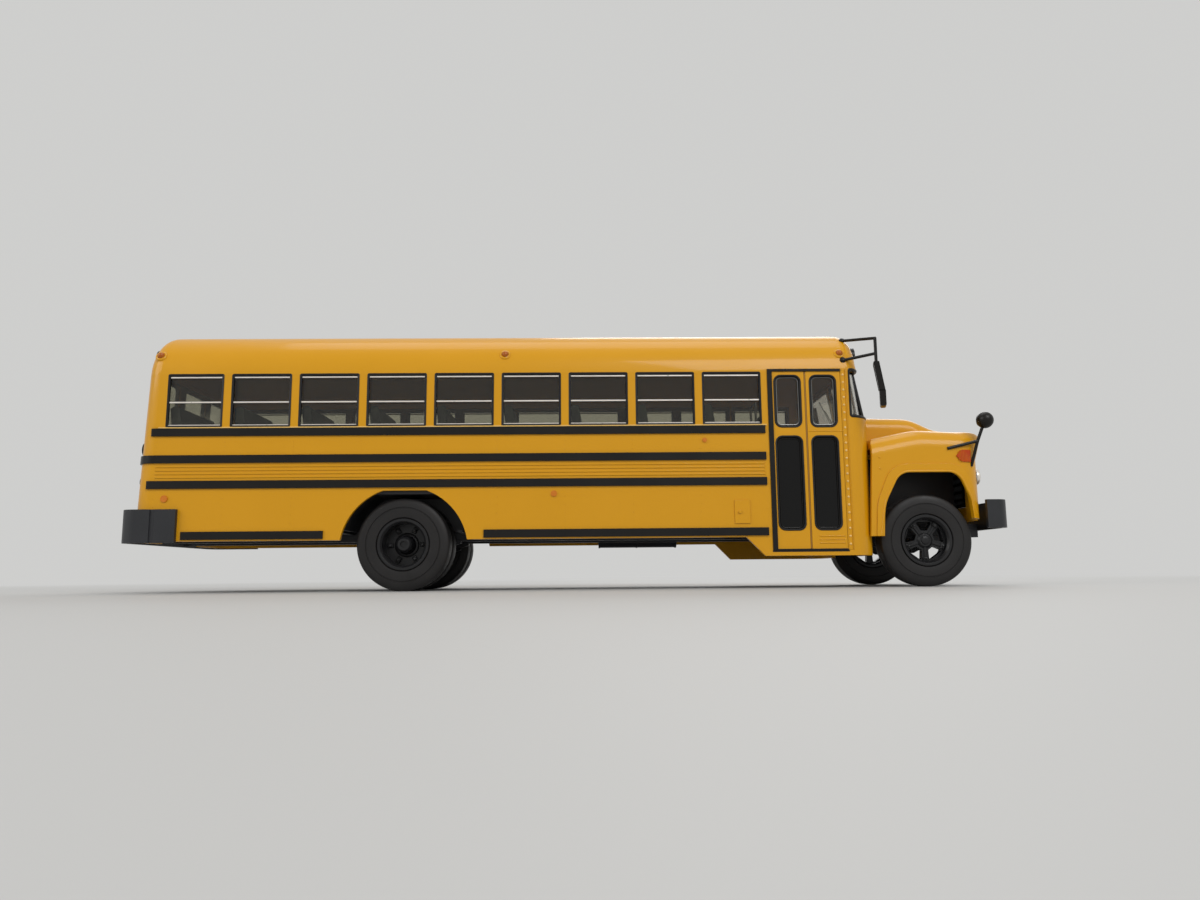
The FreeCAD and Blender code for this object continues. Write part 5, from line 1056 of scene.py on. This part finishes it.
def stop_details():
    """A pale border, a hinge and two lamps on the folded stop sign; its face stays bare."""
    x, z, radius = STOP
    y = FACE_Y + RAIL_PROUD + FIT_GAP + STOP_PLATE
    border, hinge, lamps = new_meshes(3)
    loops = []
    for share, height in STOP_BORDER:
        reach = radius * share
        turns = [radians(22.5 + 45 * step) for step in range(8)]
        loops.append([(x + reach * cos(turn), y + height, z + reach * sin(turn)) for turn in turns])
    bridge(border, loops)
    tube(hinge, [(x + radius - 0.2, y, z - 2.2), (x + radius - 0.2, y, z + 2.2)], 0.34, 12)
    for up in (-1, 1):
        centre = (x, y, z + up * STOP_LAMP_RISE)
        lathe(hinge, STOP_LAMP_SEAT, centre, (0, 1, 0), 24)
        lathe(lamps, STOP_LAMP, centre, (0, 1, 0), 24)
    piece("stop_border", border, PEARL)
    piece("stop_hinge_rod", hinge, BLACK_GLOSS)
    piece("stop_lamps", lamps, RED_LENS, smooth=50)


# Underside

SCREWS_X = (-85.0, 70.0)
SCREW_HEAD = [(-0.9, 1.15), (-0.2, 1.15), (0.0, 1.0), (0.0, 0.35), (-0.35, 0.3)]
SPRING_Y = 8.5
SPRING_Z = 10.1
SPRING_LEAVES = 3
CLIP_SPOTS = ((-1.6, -1.15), (-1.6, 1.15), (1.6, -1.15), (1.6, 1.15))
CLIP_Z = (9.2, 13.5)
MUFFLER_BANDS_X = (8.0, 19.5, 31.5)
MUFFLER = (12.3, 14.1)
CROSS_RIBS_X = (-62.0, -30.0, 0.0, 30.0, 50.0)
CROSS_RIB_HALF = 0.7
CROSS_RIB_SPANS = ((-22.0, -9.6), (9.6, 22.0))
CROSS_RIB_BAR = (0.0, 0.7, 0.15)


def underside():
    """Screws, spring leaves with their clips, muffler bands and ribs across the plate."""
    screws, springs, fittings = new_meshes(3)
    for x in SCREWS_X:
        lathe(screws, SCREW_HEAD, (x, 0, PLATE_Z), (0, 0, -1), 28)
    for axle_x, _ in (FRONT_AXLE, REAR_AXLE):
        for sign in SIDES:
            y = sign * SPRING_Y
            for step in range(SPRING_LEAVES):
                reach = 10.5 - step * 2.6
                low, tip = SPRING_Z - step * 0.3, SPRING_Z + 1.75 - step * 0.42
                leaf(springs, [(axle_x - reach, y, tip), (axle_x - 2.4, y, low), (axle_x + 2.4, y, low),
                               (axle_x + reach, y, tip)], 0.95, 0.26)
            for dx, dy in CLIP_SPOTS:
                tube(fittings, [(axle_x + dx, y + dy, z) for z in CLIP_Z], 0.2, 8)
    for x in MUFFLER_BANDS_X:
        ring(fittings, (x, *MUFFLER), (1, 0, 0), 1.98, 2.14, 0.0, 0.5)
    for x in CROSS_RIBS_X:
        along = (x - CROSS_RIB_HALF, x + CROSS_RIB_HALF)
        for span in CROSS_RIB_SPANS:
            bar(fittings, below_plane(PLATE_Z), along, span, *CROSS_RIB_BAR)
    piece("mounting_screws", screws, STEEL, smooth=40)
    piece("spring_leaves", springs, BLACK_SATIN)
    piece("chassis_fittings", fittings, BLACK_SATIN)


# Inside

GRAB_RAIL = ((52.6, -15.0, 28.0), (52.6, -15.0, 52.0), (52.6, -8.0, 52.0), (52.6, -8.0, 28.0))
DIALS_Y = (9.6, 13.5, 17.4)
DIAL = [(0, 1.2), (0.15, 1.2), (0.2, 1.05), (0.1, 0.95), (0.1, 0.1)]
DIAL_PLACE = (73.6, 42.3)
BENCH_WIDTH = 22.0
BENCH_TOP_X = 1.4
PIPING_Z = 49.3
PIPING_MARGIN = 0.4


def cabin_details():
    """Grab rail by the door, dials on the dash and piping along the top of each bench."""
    rails, dials, piping = new_meshes(3)
    tube(rails, GRAB_RAIL, 0.35)
    for y in DIALS_Y:
        lathe(dials, DIAL, (DIAL_PLACE[0], y, DIAL_PLACE[1]), (-1, 0, 0.15), 24)
    outer_y = FACE_Y - WALL - FIT_GAP - GLASS - FIT_GAP
    ends_y = (outer_y - BENCH_WIDTH + PIPING_MARGIN, outer_y - PIPING_MARGIN)
    for span in window_spans(False):
        for sign in SIDES:
            tube(piping, [(span[0] + BENCH_TOP_X, sign * y, PIPING_Z) for y in ends_y], 0.28, 8)
    piece("grab_rail", rails, DULL_METAL, smooth=50)
    piece("dash_dials", dials, PEARL, slot="dark_interior")
    piece("bench_piping", piping, CABIN, smooth=60)


# Stage and light, in metres

FLOOR_COLOUR = (0.51, 0.51, 0.502, 1)
FLOOR_RADIUS = 6.0
FLOOR_Z = -0.00002
FADE_FROM, FADE_TO = 0.18, 0.6
SURROUND = (0.62, 0.62, 0.61, 1)
SKY_LIGHT = (1, 0.99, 0.97, 1)
SKY_STRENGTH = 0.46
LAMP_AIM = (0, 0, 0.03)
LAMPS = (
    ("key", (0.45, -0.9, 0.75), (0.7, 0.5), 6.0),
    ("fill", (-0.9, -0.5, 0.5), (0.6, 0.5), 2.8),
    ("top", (0.0, 0.15, 1.0), (0.8, 0.5), 2.1),
    ("back", (0.3, 0.9, 0.6), (0.7, 0.5), 2.6),
)


def seen_rays(tree):
    """One where a ray comes from the camera, a reflection or through glass."""
    path = node_of(tree, "ShaderNodeLightPath")
    total = path.outputs["Is Camera Ray"]
    for kind in ("Is Glossy Ray", "Is Transmission Ray"):
        either = node_of(tree, "ShaderNodeMath", operation="MAXIMUM")
        tree.links.new(total, either.inputs[0])
        tree.links.new(path.outputs[kind], either.inputs[1])
        total = either.outputs["Value"]
    return total


def mixed(tree, share, first, second):
    """A mix of two shaders by a share."""
    mix = node_of(tree, "ShaderNodeMixShader")
    tree.links.new(share, mix.inputs["Fac"])
    tree.links.new(first, mix.inputs[1])
    tree.links.new(second, mix.inputs[2])
    return mix.outputs["Shader"]


def floor_material():
    """Pale and dull near the bus, and farther off the surround's colour for rays that are seen."""
    material, tree, surface = new_material("floor_pale")
    link = tree.links.new
    surface.inputs["Base Color"].default_value = FLOOR_COLOUR
    surface.inputs["Roughness"].default_value = 0.7
    place = node_of(tree, "ShaderNodeTexCoord")
    reach = node_of(tree, "ShaderNodeVectorMath", operation="LENGTH")
    link(place.outputs["Object"], reach.inputs[0])
    fade = node_of(tree, "ShaderNodeMapRange", interpolation_type="SMOOTHSTEP",
                   inputs={"From Min": FADE_FROM, "From Max": FADE_TO})
    link(reach.outputs["Value"], fade.inputs["Value"])
    glow = node_of(tree, "ShaderNodeEmission", inputs={"Color": SURROUND, "Strength": 1.0})
    share = node_of(tree, "ShaderNodeMath", operation="MULTIPLY")
    link(fade.outputs["Result"], share.inputs[0])
    link(seen_rays(tree), share.inputs[1])
    shader = mixed(tree, share.outputs["Value"], surface.outputs["BSDF"], glow.outputs["Emission"])
    link(shader, tree.nodes["Material Output"].inputs["Surface"])
    return material


def add_floor():
    mesh = bmesh.new()
    bmesh.ops.create_circle(mesh, cap_ends=True, radius=FLOOR_RADIUS, segments=96)
    floor = new_object("floor", mesh_data("floor", mesh, floor_material()))
    floor.location.z = FLOOR_Z


def add_surround():
    """An even light on the bus, and a pale backdrop for rays that are seen."""
    world = bpy.data.worlds.new("surround")
    bpy.context.scene.world = world
    world.use_nodes = True
    tree = world.node_tree
    light = tree.nodes["Background"]
    light.inputs["Color"].default_value = SKY_LIGHT
    light.inputs["Strength"].default_value = SKY_STRENGTH
    backdrop = node_of(tree, "ShaderNodeBackground", inputs={"Color": SURROUND, "Strength": 1.0})
    shader = mixed(tree, seen_rays(tree), light.outputs["Background"], backdrop.outputs["Background"])
    tree.links.new(shader, tree.nodes["World Output"].inputs["Surface"])


def add_lamps():
    for name, spot, size, watts in LAMPS:
        lamp = bpy.data.lights.new(name, "AREA")
        lamp.shape = "RECTANGLE"
        lamp.size, lamp.size_y = size
        lamp.energy = watts
        item = new_object(name, lamp)
        item.location = spot
        item.rotation_euler = (Vector(LAMP_AIM) - Vector(spot)).to_track_quat("-Z", "Y").to_euler()


# The camera's place in millimetres and its azimuth, elevation and roll, as fitted to the photograph

CAMERA_SPOT = (3.3, -257.36, 3.88)
CAMERA_ANGLES = (1.151, 8.195, -0.516)
FOCAL_PIXELS = 866
IMAGE_WIDTH = 1200
SENSOR_WIDTH = 36.0


def add_camera():
    azimuth, elevation, roll = (radians(angle) for angle in CAMERA_ANGLES)
    ahead = Vector((sin(azimuth) * cos(elevation), cos(azimuth) * cos(elevation), sin(elevation)))
    right = ahead.cross(Vector((0, 0, 1))).normalized()
    up = right.cross(ahead)
    right, up = right * cos(roll) + up * sin(roll), up * cos(roll) - right * sin(roll)
    data = bpy.data.cameras.new("camera")
    data.sensor_width = SENSOR_WIDTH
    data.lens = FOCAL_PIXELS / IMAGE_WIDTH * SENSOR_WIDTH
    data.clip_start = 0.01
    item = new_object("camera", data)
    turn = Matrix((right, up, -ahead)).transposed().to_4x4()
    item.matrix_world = Matrix.Translation(Vector(CAMERA_SPOT) * MM) @ turn
    bpy.context.scene.camera = item


dress_nodes()
for side, sign in NAMED_SIDES:
    window_trim(side, sign)
door_trim()
rivets()
tyres()
for side, sign in NAMED_SIDES:
    front_wheel_details(side, sign)
    rear_wheel_details(side, sign)
end_trim()
warning_lamps()
headlamps()
tail_details()
marker_bases()
signal_ribs()
fender_lips()
mirrors()
wipers()
front_details()
rear_details()
stop_details()
underside()
cabin_details()
add_floor()
add_surround()
add_lamps()
add_camera()
bpy.context.scene.view_settings.view_transform = "Standard"
